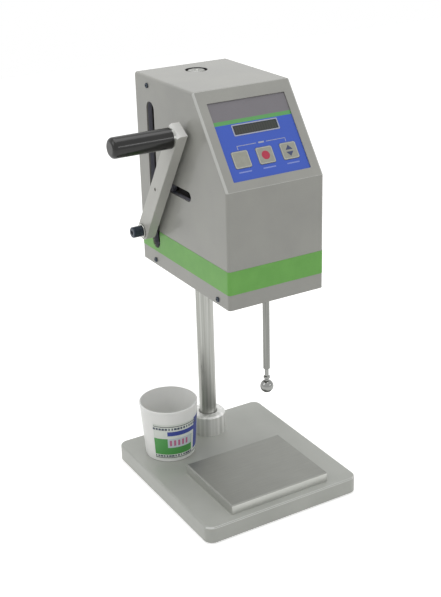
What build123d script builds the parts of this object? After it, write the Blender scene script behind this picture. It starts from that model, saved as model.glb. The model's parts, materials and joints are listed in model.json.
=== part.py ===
from build123d import *
import math
import os

# Rotational viscometer on a column stand, in millimetres and degrees.
# +X is the operator's right, the operator stands at -Y, and Z = 0 is the bench.
# The origin is on the bench, under the head's centre plane, midway between the
# base's front and rear edges.

# Clearances
press_gap = 0.02      # round fits inside one rigid group
run_gap = 0.05        # running fits of shafts, per radius
move_gap = 0.3        # between pieces that pass each other
seat_gap = 0.15       # round the edge of a plate that sits in an opening

# Stand
base_width = 211.0
base_x = -11.0         # centre of the base, left of the column
base_depth = 233.8
base_height = 23.0    # bench to the top of the base
base_corner = 11.0
base_edge = 2.6
mat_thickness = 1.5
mat_inset = 3.5
plate_width = 134.6
plate_depth = 109.0
plate_height = 12.6
plate_setback = 10.3  # from the base's front edge
plate_chamfer = 1.3
plate_screw_inset = 14.0
column_radius = 11.0
column_sink = 8.0     # how deep the column stands in the base
column_setback = 33.0  # from the base's rear edge to the column's axis
column_chamfer = 1.5
collar_radius = 22.3
collar_height = 27.8
collar_chamfer = 2.2
collar_screw_circle = 17.0
collar_bore_edge = 1.2
base_foot_edge = 0.8
plate_corner = 1.0
centre_drill_radius = 3.0
centre_drill_depth = 4.0
cap_screw_radius = 2.5
cap_head_radius = 4.3
cap_head_height = 5.0
cap_screw_reach = 9.0     # thread above the base's top
cap_key_radius = 2.2
cap_key_depth = 2.4
column_bolt_radius = 5.0
column_bolt_head = 8.0
column_bolt_head_height = 6.0
column_bolt_reach = 20.0
grub_radius = 2.5
grub_lift = 19.0      # above the base's top
grub_recess = 1.0
grub_key_radius = 1.4
grub_key_depth = 2.0

# Measuring head, at the top of its travel
head_width = 124.8
head_depth = 203.2
head_height = 229.7
head_lift = 245.5     # from the base's top to the head's underside
head_behind = 34.5    # from the column's axis to the head's rear edge
head_front_height = 135.0
head_top_depth = 135.0
head_wall = 2.0
head_above_column = 0.5  # the column's end sits just inside the top ring
head_edge = 3.4
knee_edge = 1.8
floor_thickness = 2.0
floor_corner = 1.5
floor_column_gap = 1.6
floor_shaft_gap = 2.0
cover_mouth = 10.0    # depth cut square at the cover's open floor and rear
pick_margin = 1.0     # keeps an edge search off the rear and lower faces
back_thickness = 2.0
back_recess = 1.5
top_hole_radius = 13.4
top_ring_wall = 0.7
top_ring_depth = 4.0

# Slots for the lift drive in the head's left side
slot_width = 18.5
slot_length = 178.0
slot_below_pivot = 25.3
yoke_height = 12.0
yoke_run_front = 17.6  # slot beyond the follower's dead centre
yoke_run_rear = 10.0   # slot beyond the follower at rest

# Lever and its pivot
pivot_above_floor = 48.2
follower_radius = 72.4
lever_rest_angle = 32.5
lever_reach = 156.0   # pivot to the grip's axis
lever_beyond = 11.0   # grip's axis to the lever's end
lever_width = 22.0
lever_thickness = 12.4
lever_gap = 5.8       # head side to the lever's inner face
lever_chamfer = 3.0
lever_edge = 0.8
lever_mark_radius = 2.3
lever_mark_depth = 3.0
pivot_radius = 5.0
pivot_bush_wall = 2.0
pivot_washer_radius = 8.8
pivot_washer_thickness = 1.6
pivot_knob_radius = 6.5
pivot_knob_length = 12.0
pivot_knob_flutes = 18
grip_radius = 11.7
grip_length = 72.3
grip_dome = 5.0
grip_rod_radius = 4.0
grip_washer_radius = 11.0
grip_washer_thickness = 1.6
clamp_width = 30.0
clamp_height = 26.0
clamp_reach = 36.0    # column axis to the clamp's left face
clamp_rear = 22.0
clamp_slit = 2.0
clamp_corner = 3.0
clamp_bolt_radius = 2.5
clamp_bolt_head = 4.2
clamp_bolt_head_height = 5.0
clamp_bolt_land = 1.3     # behind the bolt's head
clamp_bolt_recess = 1.0
shaft_column_gap = 2.0
pivot_thread_radius = 2.0
pivot_thread_depth = 12.0
pivot_thread_reach = 10.0
washer_edge = 0.3
knob_edge = 0.8
knob_flute_radius = 0.45
knob_land = 2.5
knob_key_radius = 2.6
knob_key_depth = 4.0
grip_solid_end = 16.0
grip_edge = 0.6
rivet_overhang = 1.6
rivet_height = 1.4
rivet_edge = 0.8
stud_radius = 2.5
stud_reach = 5.0      # past the frame plate's inner face
stud_head_radius = 6.5
stud_head_reach = 3.0
stud_shoulder_step = 1.0
roller_side_gap = 0.2
roller_gap = 0.1

# Frame inside the head
frame_thickness = 5.0
frame_slope_inset = 15.0
frame_front_gap = 4.0
frame_knee_ease = 6.0
frame_corner = 3.0
tap_end = 1.0         # tapped hole beyond the screw's tip
block_depth = 36.0
lower_block_height = 19.0
upper_block_height = 20.0
upper_block_drop = 2.0
bush_wall = 3.0
bush_flange = 2.5
bush_flange_wall = 6.0
cover_screw_radius = 1.7
cover_head_radius = 3.0
cover_head_height = 1.8
cover_screw_length = 14.0
cover_head_edge = 1.0
cover_key_radius = 1.1
cover_key_depth = 1.2
floor_screw_inset = 18.4  # from the head's sides
floor_screw_head = 3.4
floor_screw_radius = 1.6
floor_screw_head_height = 1.8
floor_screw_reach = 9.0   # above the floor plate
floor_slot_length = 4.8
floor_slot_width = 0.8
floor_slot_depth = 0.6

# Drive
spindle_behind_front = 23.8
shaft_radius = 4.0
shaft_drop = 96.3     # head's underside to the shaft's lower end
tip_neck_radius = 2.35
tip_neck_length = 9.0
tip_collar_radius = 3.8
tip_collar_length = 4.6
tip_waist_radius = 2.4
ball_radius = 7.9
ball_drop = 119.1     # head's underside to the ball's centre
bearing_radius = 11.0
bearing_width = 7.0
bearing_shoulder = 1.5
seal_inner_radius = 5.6
seal_outer_radius = 9.4
seal_recess = 0.4
shaft_end_gap = 0.5   # between the two shafts inside the coupling
shaft_edge = 0.6
tip_thread = 8.0
tip_shoulder = 1.0
tip_taper = 1.4
housing_wall = 4.0
housing_height = 34.0
housing_flange_radius = 16.0
housing_flange = 4.0
coupling_radius = 9.0
coupling_length = 20.0
coupling_lift = 2.0   # above the bearing housing
coupling_slit = 0.8
coupling_slit_pitch = 3.0
coupling_web = 3.0    # left beside each slit's end
motor_plate_size = 42.0
motor_plate_thickness = 4.0
motor_plate_corner = 4.0
motor_pilot_radius = 8.0
pillar_hole_radius = 1.7
pillar_thread_radius = 1.5
pillar_thread_depth = 8.0
motor_plate_lift = 60.0   # above the head's floor
motor_radius = 18.0
motor_length = 46.0
motor_edge = 1.5
motor_boss_radius = 7.0
motor_boss = 3.0
terminal_width = 12.0
terminal_reach = 4.0      # either side of the motor's wall
terminal_drop = 4.0       # below the motor's top
terminal_height = 8.0
motor_shaft_radius = 2.5
motor_shaft_depth = 15.0
pillar_radius = 3.0
pillar_inset = 5.0

# Control panel on the slope
panel_width = 99.0
panel_height = 91.4
panel_start = 10.3    # up the slope from the knee
panel_recess = 1.2
panel_flange = 4.0
panel_flange_thickness = 1.5
panel_corner = 1.0
band_start = 18.2     # above the head's underside
band_height = 27.4
band_thickness = 0.25
display_width = 58.3
display_height = 13.2
display_border = 1.3
display_proud = 0.3
display_centre = 67.4  # up the slope from the knee
display_corner = 0.6
bezel_corner = 1.0
window_corner = 0.5
window_recess = 0.1
module_width = 80.0
module_height = 30.0
module_depth = 8.5
module_corner = 1.0
module_rise = 2.0     # module above the window's centre
module_board_trim = 4.0
module_body_trim = 8.0
key_width = 20.6
key_height = 19.4
key_pitch = 30.6
key_centre = 34.2     # up the slope from the knee
key_corner = 2.2
key_proud = 0.6
key_travel = 0.4
key_lip = 1.0
key_lip_thickness = 0.8
key_edge = 0.35
key_board_depth = 8.0
board_thickness = 1.6
key_board_height = 26.0
key_board_edge = 0.5
key_board_corner = 1.5
key_board_drop = 2.0
key_post_rise = 10.0
key_switch_size = 6.0
key_switch_height = 3.0
key_stem_radius = 1.7
key_stem_gap = 0.05
standoff_radius = 2.5

# Electronics and rear panel
board_depth = 62.0
board_height = 92.0
board_supply_gap = 5.2
board_above_floor = 96.0
board_standoff = 7.0
standoff_inset = 5.0
board_post_radius = 3.0
chip_size = 20.0
chip_thickness = 3.0
chip_y = -4.0         # from the board's centre
chip_z = 4.0
regulator_thickness = 4.0
regulator_height = 18.0
regulator_depth = 14.0
regulator_y = 16.0
regulator_z = -21.0
capacitor_radius = 5.0
capacitor_length = 16.0
capacitor_pitch = 14.0
capacitor_y = -18.0
capacitor_z = -32.0
plug_length = 36.0
plug_height = 7.0
plug_depth = 9.0
plug_y = -2.0
plug_z = 37.5
supply_width = 26.0
supply_depth = 44.0
supply_height = 96.0
supply_behind_column = -22.0
supply_above_floor = 30.0
supply_corner = 1.5
fin_count = 8
fin_pitch = 10.0
fin_groove = 4.0
fin_depth = 3.0
fin_start = 12.0      # from the case's lower end
fin_margin = 6.0
spacer_radius = 4.0
spacer_x = 42.0
spacer_inset = 9.0
spacer_thread_radius = 2.0
spacer_thread_depth = 8.0
back_screw_radius = 1.5
back_screw_reach = 7.0    # inside the rear panel
back_hole_radius = 2.2
back_head_radius = 3.2
back_head_height = 1.8
back_head_edge = 1.0
inlet_head_radius = 2.8
inlet_head_height = 1.4
inlet_screw_reach = 3.0
inlet_x = 33.0
inlet_above_floor = 34.0
inlet_width = 27.4
inlet_height = 20.0
inlet_depth = 18.0
inlet_flange_width = 50.0
inlet_flange_height = 22.6
inlet_flange = 2.4
inlet_socket_width = 24.0
inlet_socket_height = 16.4
inlet_socket_depth = 15.0
inlet_screw_pitch = 40.0
inlet_pin_width = 2.0
inlet_pin_height = 4.0
inlet_pin_length = 9.5
inlet_pin_pitch = 7.0
inlet_pin_rise = 2.0      # the earth blade above the middle, the others below
inlet_pin_root = 6.0      # held in the moulding
inlet_flange_corner = 3.0
inlet_socket_corner = 4.0
switch_x = -36.0
rocker_width = 13.0
rocker_height = 21.0
rocker_frame = 2.2
rocker_depth = 8.0
rocker_tilt = 7.0
rocker_pin_radius = 1.0
rocker_pin_reach = 0.8
rocker_pin_seat = 0.9
rocker_pivot_depth = 3.0
rocker_face_rise = 4.6    # the V's bottom above the pin
rocker_back_rise = 3.0
rocker_end_gap = 0.8
rocker_back_share = 0.55
switch_depth = 14.0
switch_cavity = 11.0
switch_flange = 1.8
switch_flange_lip = 1.0
switch_body_step = 0.75
switch_hole_step = 0.6
vent_count = 7
vent_width = 56.0
vent_height = 3.2
vent_pitch = 8.0
vent_above_floor = 132.0

# Sample cup
cup_x = -67.6
cup_before_column = 19.7
cup_foot_radius = 31.2
cup_rim_radius = 36.6
cup_height = 71.8
cup_wall = 1.3
cup_floor = 1.8
cup_bead = 0.4
cup_shoulder_radius = 35.6   # where the tapered wall meets the upright rim band
cup_shoulder_height = 59.0
cup_foot_edge = 0.8
cup_foot_ring = 3.0
cup_bead_height = 3.0
label_thickness = 0.15
label_low = 4.0
label_high = 54.6
label_arc = 300.0
label_turn = -2.0     # Derived places
column_y = base_depth / 2 - column_setback
column_bottom = base_height - column_sink
plate_front = -base_depth / 2 + plate_setback
plate_y = plate_front + plate_depth / 2
half_head = head_width / 2
head_floor = base_height + head_lift
head_top = head_floor + head_height
column_top = head_top - head_above_column
head_rear = column_y + head_behind
head_front = head_rear - head_depth
slope_top_y = head_rear - head_top_depth
knee_z = head_floor + head_front_height
slope_run = slope_top_y - head_front
slope_rise = head_top - knee_z
slope_length = math.hypot(slope_run, slope_rise)
slope = Plane(
    origin=(0, head_front, knee_z),
    x_dir=(1, 0, 0),
    z_dir=(0, -slope_rise / slope_length, slope_run / slope_length),
)
floor_top = head_floor + floor_thickness
cover_inside = half_head - head_wall
frame_outside = cover_inside - seat_gap
frame_inside = frame_outside - frame_thickness
back_outside = head_rear - back_recess
back_inside = back_outside - back_thickness
ceiling = head_top - head_wall
upper_block_top = ceiling - upper_block_drop
upper_block_bottom = upper_block_top - upper_block_height
supply_front = column_y + supply_behind_column - supply_depth
board_y = supply_front - board_supply_gap - board_depth / 2
board_z = head_floor + board_above_floor
pivot_z = head_floor + pivot_above_floor
yoke_z = pivot_z + follower_radius * math.cos(math.radians(lever_rest_angle))
follower_y = column_y - follower_radius * math.sin(math.radians(lever_rest_angle))
yoke_front = column_y - follower_radius - yoke_run_front
yoke_rear = follower_y + yoke_run_rear
slot_centre_z = pivot_z - slot_below_pivot + slot_length / 2
lever_inside = -half_head - lever_gap
lever_outside = lever_inside - lever_thickness
grip_y = column_y - lever_reach * math.sin(math.radians(lever_rest_angle))
grip_z = pivot_z + lever_reach * math.cos(math.radians(lever_rest_angle))
spindle_y = head_front + spindle_behind_front
shaft_bottom = head_floor - shaft_drop
housing_top = floor_top + housing_height
coupling_bottom = housing_top + coupling_lift
coupling_top = coupling_bottom + coupling_length
motor_plate_z = head_floor + motor_plate_lift
motor_bottom = motor_plate_z + motor_plate_thickness
pad_face = -panel_recess
flange_face = -head_wall
flange_back = -head_wall - panel_flange_thickness
cup_y = column_y - cup_before_column
screw_spots = [
    (column_y + 5.0, head_top - 11.0),
    (column_y + 3.4, head_floor + 6.2),
    (spindle_y + 0.7, head_floor + 6.2),
]


def block(x0, x1, y0, y1, z0, z1):
    """A box between two corners."""
    middle = Pos((x0 + x1) / 2, (y0 + y1) / 2, (z0 + z1) / 2)
    return middle * Box(x1 - x0, y1 - y0, z1 - z0)


def rod_x(y, z, radius, x0, x1):
    return Pos((x0 + x1) / 2, y, z) * Rot(0, 90, 0) * Cylinder(radius, x1 - x0)


def rod_y(x, z, radius, y0, y1):
    return Pos(x, (y0 + y1) / 2, z) * Rot(90, 0, 0) * Cylinder(radius, y1 - y0)


def rod_z(x, y, radius, z0, z1):
    return Pos(x, y, (z0 + z1) / 2) * Cylinder(radius, z1 - z0)


def turned(points, x=0.0, y=0.0):
    """A solid of revolution about a vertical axis, from radius and height pairs."""
    profile = make_face(Polyline(*[(r, 0, z) for r, z in points], close=True))
    return Pos(x, y, 0) * revolve(profile, Axis.Z)


def rounded_slab(width, depth, thickness, corner):
    """A flat plate with rounded corners, its underside at Z = 0."""
    return extrude(RectangleRounded(width, depth, corner), thickness)


def mirrored_x(shape):
    return mirror(shape, Plane.YZ)


def save(name, *solids):
    shape = solids[0] if len(solids) == 1 else Compound(children=list(solids))
    export_step(shape, os.path.join("parts", name + ".step"))


# Stand

def work_plate_screw_spots():
    across = plate_width / 2 - plate_screw_inset
    along = plate_depth / 2 - plate_screw_inset
    return [(base_x + x, plate_y + y) for x in (-across, across) for y in (-along, along)]


def collar_screw_spots():
    turns = [90 + 120 * n for n in range(3)]
    return [
        (
            collar_screw_circle * math.cos(math.radians(turn)),
            column_y + collar_screw_circle * math.sin(math.radians(turn)),
        )
        for turn in turns
    ]


def cap_screw_hole(x, y):
    """Counterbore and clearance hole for a cap screw from below."""
    head_top_z = mat_thickness + cap_head_height
    counterbore = rod_z(x, y, cap_head_radius + move_gap, mat_thickness, head_top_z)
    return counterbore + rod_z(x, y, cap_screw_radius + press_gap, mat_thickness, base_height)


def cap_screw(x, y):
    head_top_z = mat_thickness + cap_head_height
    screw = rod_z(x, y, cap_head_radius, mat_thickness, head_top_z)
    screw += rod_z(x, y, cap_screw_radius, head_top_z, base_height + cap_screw_reach)
    socket = extrude(RegularPolygon(cap_key_radius, 6), cap_key_depth)
    return screw - Pos(x, y, mat_thickness) * socket


def make_base():
    plate = Pos(base_x, 0, mat_thickness) * rounded_slab(
        base_width, base_depth, base_height - mat_thickness, base_corner
    )
    plate = fillet(plate.faces().sort_by(Axis.Z)[-1].outer_wire().edges(), base_edge)
    plate = chamfer(plate.faces().sort_by(Axis.Z)[0].outer_wire().edges(), base_foot_edge)
    plate -= rod_z(0, column_y, column_radius + press_gap, column_bottom, base_height)
    plate -= rod_z(0, column_y, column_bolt_radius + press_gap, mat_thickness, column_bottom)
    plate -= rod_z(
        0, column_y, column_bolt_head + move_gap, mat_thickness, mat_thickness + column_bolt_head_height
    )
    for x, y in work_plate_screw_spots() + collar_screw_spots():
        plate -= cap_screw_hole(x, y)
    return plate


def make_mat():
    return Pos(base_x, 0, 0) * rounded_slab(
        base_width - 2 * mat_inset, base_depth - 2 * mat_inset, mat_thickness, base_corner - mat_inset
    )


def make_work_plate():
    plate = block(
        base_x - plate_width / 2, base_x + plate_width / 2, plate_front, plate_front + plate_depth,
        base_height, base_height + plate_height,
    )
    plate = chamfer(plate.faces().sort_by(Axis.Z)[-1].edges(), plate_chamfer)
    plate = fillet(plate.edges().filter_by(Axis.Z), plate_corner)
    for x, y in work_plate_screw_spots():
        plate -= rod_z(x, y, cap_screw_radius + press_gap, base_height, base_height + cap_screw_reach)
    return plate


def make_column():
    bar = rod_z(0, column_y, column_radius, column_bottom, column_top)
    bar = chamfer(bar.edges().filter_by(GeomType.CIRCLE), column_chamfer)
    bolt_end = column_bottom + column_bolt_reach
    bar -= rod_z(0, column_y, column_bolt_radius + press_gap, column_bottom, bolt_end)
    drill = Cone(0.0, centre_drill_radius, centre_drill_depth)
    return bar - Pos(0, column_y, column_top - centre_drill_depth / 2) * drill


def make_column_bolt():
    head = Pos(0, column_y, mat_thickness) * extrude(
        RegularPolygon(column_bolt_head, 6), column_bolt_head_height
    )
    return head + rod_z(
        0, column_y, column_bolt_radius, mat_thickness + column_bolt_head_height,
        column_bottom + column_bolt_reach,
    )


def make_collar():
    top = base_height + collar_height
    inner = column_radius + press_gap
    ring = turned(
        [
            (inner, base_height),
            (collar_radius, base_height),
            (collar_radius, top - collar_chamfer),
            (collar_radius - collar_chamfer, top),
            (inner + collar_bore_edge, top),
            (inner, top - collar_bore_edge),
        ],
        0, column_y,
    )
    for x, y in collar_screw_spots():
        ring -= rod_z(x, y, cap_screw_radius + press_gap, base_height, base_height + cap_screw_reach)
    grub_z = base_height + grub_lift
    return ring - rod_y(0, grub_z, grub_radius + press_gap, column_y, column_y + collar_radius)


def make_collar_grub():
    """Set screw through the collar's rear, against the column."""
    outer = column_y + collar_radius - grub_recess
    z = base_height + grub_lift
    grub = rod_y(0, z, grub_radius, column_y + column_radius + press_gap, outer)
    socket = extrude(RegularPolygon(grub_key_radius, 6), grub_key_depth)
    return grub - Pos(0, outer - grub_key_depth, z) * Rot(-90, 0, 0) * socket


# Lift drive: clamp on the column, pivot, lever, follower

def clamp_bolt_spots():
    return [pivot_z - clamp_height / 4, pivot_z + clamp_height / 4]


def make_clamp():
    low = pivot_z - clamp_height / 2
    high = pivot_z + clamp_height / 2
    body = block(
        -clamp_reach, clamp_width / 2, column_y - clamp_width / 2, column_y + clamp_rear, low, high
    )
    body = fillet(body.edges().filter_by(Axis.Z), clamp_corner)
    notch = clamp_bolt_y() - clamp_bolt_head - move_gap
    body -= block(-clamp_reach, -clamp_width / 2, notch, column_y + clamp_rear, low, high)
    body -= rod_z(0, column_y, column_radius + press_gap, low, high)
    body -= block(
        -clamp_slit / 2, clamp_slit / 2, column_y, column_y + clamp_rear, low, high
    )
    body -= rod_x(column_y, pivot_z, pivot_radius + press_gap, -clamp_reach, -column_radius)
    for z in clamp_bolt_spots():
        body -= rod_x(
            clamp_bolt_y(), z, clamp_bolt_radius + press_gap,
            -clamp_width / 2, clamp_width / 2,
        )
    return body


def clamp_bolt_y():
    return column_y + clamp_rear - clamp_bolt_head - clamp_bolt_land


def make_clamp_bolts():
    y = clamp_bolt_y()
    bolts = []
    for z in clamp_bolt_spots():
        face = -clamp_width / 2
        bolt = rod_x(y, z, clamp_bolt_radius, face, clamp_width / 2 - clamp_bolt_recess)
        bolt += rod_x(y, z, clamp_bolt_head, face - clamp_bolt_head_height, face)
        bolts.append(bolt)
    return bolts


def make_pivot_shaft():
    start = -column_radius - shaft_column_gap
    outer = lever_outside - move_gap
    shaft = rod_x(column_y, pivot_z, pivot_radius, outer, start)
    return shaft - rod_x(
        column_y, pivot_z, pivot_thread_radius + press_gap, outer, lever_outside + pivot_thread_depth
    )


def make_pivot_washer():
    outer = lever_outside - move_gap
    washer = rod_x(column_y, pivot_z, pivot_washer_radius, outer - pivot_washer_thickness, outer)
    washer = chamfer(washer.edges().filter_by(GeomType.CIRCLE), washer_edge)
    return washer - rod_x(
        column_y, pivot_z, pivot_thread_radius + press_gap, outer - pivot_washer_thickness, outer
    )


def make_pivot_knob():
    inner = lever_outside - move_gap - pivot_washer_thickness
    outer = inner - pivot_knob_length
    knob = rod_x(column_y, pivot_z, pivot_knob_radius, outer, inner)
    knob = chamfer(knob.edges().filter_by(GeomType.CIRCLE), knob_edge)
    for n in range(pivot_knob_flutes):
        turn = math.radians(360 * n / pivot_knob_flutes)
        y = column_y + pivot_knob_radius * math.cos(turn)
        z = pivot_z + pivot_knob_radius * math.sin(turn)
        knob -= rod_x(y, z, knob_flute_radius, outer, inner - knob_land)
    socket = extrude(RegularPolygon(knob_key_radius, 6), knob_key_depth)
    knob -= Pos(outer, column_y, pivot_z) * Rot(0, 90, 0) * socket
    return knob + rod_x(
        column_y, pivot_z, pivot_thread_radius, inner, lever_outside + pivot_thread_reach
    )


def lever_frame():
    """Local X runs up the lever from the pivot, local Z points away from the head."""
    tilt = math.radians(lever_rest_angle)
    return Plane(
        origin=(lever_inside, column_y, pivot_z),
        x_dir=(0, -math.sin(tilt), math.cos(tilt)),
        z_dir=(-1, 0, 0),
    )


def make_lever():
    end = lever_reach + lever_beyond
    half = lever_width / 2
    outline = make_face(
        Polyline((0, half), (end, half), (end, -half), (0, -half))
        + ThreePointArc((0, -half), (-half, 0), (0, half))
    )
    arm = extrude(outline, lever_thickness)
    arm = chamfer(arm.edges().filter_by(Axis.Y).sort_by(Axis.X)[-2:].sort_by(Axis.Z)[-1:], lever_chamfer)
    arm = fillet(arm.edges().filter_by(Axis.X).group_by(Axis.Z)[-1], lever_edge)
    arm -= Pos(0, 0, lever_thickness / 2) * Cylinder(
        pivot_radius + pivot_bush_wall + press_gap, lever_thickness
    )
    arm -= Pos(lever_reach, 0, lever_thickness / 2) * Cylinder(grip_rod_radius + press_gap, lever_thickness)
    arm -= Pos(follower_radius, 0, lever_thickness - lever_mark_depth / 2) * Cylinder(
        lever_mark_radius, lever_mark_depth
    )
    return lever_frame() * arm


def make_lever_bush():
    outer = pivot_radius + pivot_bush_wall
    bush = rod_x(column_y, pivot_z, outer, lever_outside, lever_inside)
    return bush - rod_x(column_y, pivot_z, pivot_radius + run_gap, lever_outside, lever_inside)


def make_grip_washer():
    outer = lever_outside - grip_washer_thickness
    washer = rod_x(grip_y, grip_z, grip_washer_radius, outer, lever_outside)
    return washer - rod_x(grip_y, grip_z, grip_rod_radius + press_gap, outer, lever_outside)


def make_grip_rod():
    """Steel core of the grip, riveted over on the lever's inner face."""
    core_end = lever_outside - grip_washer_thickness - grip_length + grip_solid_end
    core = rod_x(grip_y, grip_z, grip_rod_radius, core_end, lever_inside)
    rivet = rod_x(
        grip_y, grip_z, grip_rod_radius + rivet_overhang, lever_inside, lever_inside + rivet_height
    )
    rims = rivet.edges().filter_by(GeomType.CIRCLE).sort_by(Axis.X)
    return core + chamfer(rims[-1], rivet_edge)


def make_grip():
    inner = lever_outside - grip_washer_thickness
    outer = inner - grip_length
    sleeve = rod_x(grip_y, grip_z, grip_radius, outer, inner)
    rims = sleeve.edges().filter_by(GeomType.CIRCLE).sort_by(Axis.X)
    sleeve = fillet(rims[0], grip_dome)
    rims = sleeve.edges().filter_by(GeomType.CIRCLE).sort_by(Axis.X)
    sleeve = chamfer(rims[-1], grip_edge)
    return sleeve - rod_x(grip_y, grip_z, grip_rod_radius + press_gap, outer + grip_solid_end, inner)


def follower_reach():
    """The follower's stud stops short of the lever's inner face."""
    return lever_inside + move_gap


def make_follower_roller():
    radius = yoke_height / 2 - roller_gap
    outer = -frame_outside + roller_side_gap
    inner = -frame_inside - roller_side_gap
    roller = rod_x(follower_y, yoke_z, radius, outer, inner)
    return roller - rod_x(follower_y, yoke_z, stud_radius + press_gap, outer, inner)


def make_follower_stud():
    inner = -frame_inside
    stud = rod_x(follower_y, yoke_z, stud_radius, follower_reach(), inner + stud_reach)
    head = rod_x(follower_y, yoke_z, stud_head_radius, inner + move_gap, inner + stud_head_reach)
    shoulder_radius = yoke_height / 2 - stud_shoulder_step
    return stud + head + rod_x(follower_y, yoke_z, shoulder_radius, follower_reach(), -half_head)


# Head cover and frame

def head_prism(inset, edge):
    """The head's outside form, moved inwards by inset, with rounded edges."""
    outline = Polyline(
        (head_front, head_floor), (head_rear, head_floor), (head_rear, head_top),
        (slope_top_y, head_top), (head_front, knee_z),
        close=True,
    )
    side = Plane.YZ * make_face(outline)
    if inset:
        side = offset(side, amount=-inset, kind=Kind.INTERSECTION)
    half = half_head - inset
    prism = Pos(-half, 0, 0) * extrude(side, 2 * half, dir=(1, 0, 0))
    low = head_floor + inset + pick_margin
    rear = head_rear - inset - pick_margin
    edges = prism.edges().filter_by(Axis.X, reverse=True)
    prism = fillet(edges.filter_by(lambda e: e.center().Z > low and e.center().Y < rear), edge)
    edges = prism.edges().filter_by(Axis.X)
    return fillet(edges.filter_by(lambda e: e.center().Z > low and e.center().Y < rear), knee_edge)


def side_slots(x0, x1):
    """Cutter for the upright slot of the pivot and the level slot of the follower."""
    side = Plane(origin=(x0, 0, 0), x_dir=(0, 1, 0), z_dir=(1, 0, 0))
    upright = Pos(column_y, slot_centre_z) * Rot(0, 0, 90) * SlotOverall(slot_length, slot_width)
    level = Pos((yoke_front + yoke_rear) / 2, yoke_z) * SlotOverall(yoke_rear - yoke_front, yoke_height)
    return side * (extrude(upright, x1 - x0) + extrude(level, x1 - x0))


def panel_opening(clearance, low, high):
    """A block on the slope, from low to high above its outer face."""
    centre = panel_start + panel_height / 2
    size = (panel_width - 2 * clearance, panel_height - 2 * clearance)
    return slope * Pos(0, centre, low) * rounded_slab(*size, high - low, panel_corner)


def make_cover():
    shell = head_prism(0, head_edge) - head_prism(head_wall, head_edge - head_wall)
    front = head_front + head_wall
    rear = head_rear - cover_mouth
    shell -= block(-cover_inside, cover_inside, front, head_rear, head_floor, head_floor + cover_mouth)
    shell -= block(-cover_inside, cover_inside, rear, head_rear, head_floor, head_top - head_wall)
    shell -= side_slots(-half_head, -cover_inside)
    shell -= panel_opening(0, -head_wall, head_wall)
    shell -= rod_z(0, column_y, top_hole_radius, ceiling, head_top)
    for y, z in screw_spots:
        shell -= rod_x(y, z, cover_screw_radius + move_gap, -half_head, -cover_inside)
        shell -= rod_x(y, z, cover_screw_radius + move_gap, cover_inside, half_head)
    return shell


def make_band():
    """Coloured band round the front and both sides."""
    band = head_prism(-band_thickness, head_edge + band_thickness) - head_prism(0, head_edge)
    low = head_floor + band_start
    band &= block(-head_width, head_width, head_front - head_edge, head_rear, low, low + band_height)
    return band - side_slots(-half_head - head_wall, -half_head + head_wall)


def frame_outline():
    """Side view of a frame plate: it stays clear of the panel behind the slope."""
    clear = frame_slope_inset * slope_length / slope_rise
    front = head_front + head_wall + frame_front_gap
    knee = knee_z - (clear - frame_knee_ease) * slope_rise / slope_run
    points = [
        (front, floor_top), (column_y + block_depth / 2, floor_top),
        (column_y + block_depth / 2, upper_block_top),
        (slope_top_y + clear, upper_block_top), (front, knee),
    ]
    return Plane.YZ * make_face(Polyline(*points, close=True))


def make_frame_plate(side):
    plate = Pos(-frame_outside, 0, 0) * extrude(frame_outline(), frame_thickness, dir=(1, 0, 0))
    plate = fillet(plate.edges().filter_by(Axis.X), frame_corner)
    for y, z in screw_spots:
        plate -= rod_x(y, z, cover_screw_radius + press_gap, -frame_outside, -frame_inside)
    if side > 0:
        return mirrored_x(plate)
    return plate - side_slots(-frame_outside, -frame_inside)


def tapped_sides(body, spots):
    reach = half_head - cover_screw_length - tap_end
    for y, z in spots:
        body -= rod_x(y, z, cover_screw_radius + press_gap, -frame_inside, -reach)
        body -= rod_x(y, z, cover_screw_radius + press_gap, reach, frame_inside)
    return body


def bush_radius():
    return column_radius + run_gap + bush_wall


def bush_seat(low, high):
    return rod_z(0, column_y, bush_radius() + press_gap, low, high)


def spacer_spots():
    return [
        (x, z)
        for x in (-spacer_x, spacer_x)
        for z in (floor_top + spacer_inset, upper_block_top - spacer_inset)
    ]


def make_cross_block(low, high, spot):
    rear = column_y + block_depth / 2
    body = block(-frame_inside, frame_inside, column_y - block_depth / 2, rear, low, high)
    body -= bush_seat(low, high)
    for x, z in spacer_spots():
        if low < z < high:
            body -= rod_y(x, z, spacer_thread_radius + press_gap, rear - spacer_thread_depth, rear)
    return tapped_sides(body, [spot])


def make_bush(low, high, flange_side):
    outer = bush_radius()
    bush = rod_z(0, column_y, outer, low, high)
    if flange_side > 0:
        bush += rod_z(0, column_y, outer + bush_flange_wall, high, high + bush_flange)
        high = high + bush_flange
    else:
        bush += rod_z(0, column_y, outer + bush_flange_wall, low - bush_flange, low)
        low = low - bush_flange
    return bush - rod_z(0, column_y, column_radius + run_gap, low, high)


def make_front_block():
    low = floor_top
    high = floor_top + lower_block_height
    front = head_front + head_wall + frame_front_gap
    rear = spindle_y + block_depth / 2
    body = block(-frame_inside, frame_inside, front, rear, low, high)
    body -= rod_z(0, spindle_y, bearing_radius + housing_wall + press_gap, low, high)
    for x, y in pillar_spots():
        body -= rod_z(x, y, pillar_thread_radius + press_gap, high - pillar_thread_depth, high)
    return tapped_sides(body, [screw_spots[2]])


def make_floor():
    """Plate that closes the head from below."""
    plate = block(
        -cover_inside + seat_gap, cover_inside - seat_gap,
        head_front + head_wall + seat_gap, head_rear - seat_gap, head_floor, floor_top,
    )
    plate = fillet(plate.edges().filter_by(Axis.Z), floor_corner)
    plate -= rod_z(0, column_y, column_radius + floor_column_gap, head_floor, floor_top)
    plate -= rod_z(0, spindle_y, shaft_radius + floor_shaft_gap, head_floor, floor_top)
    for x, y in floor_screw_spots():
        plate -= floor_screw_form(x, y, press_gap)
    return plate


def floor_screw_spots():
    x = half_head - floor_screw_inset
    return [(side * x, y) for side in (-1, 1) for y in (spindle_y, column_y)]


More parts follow.
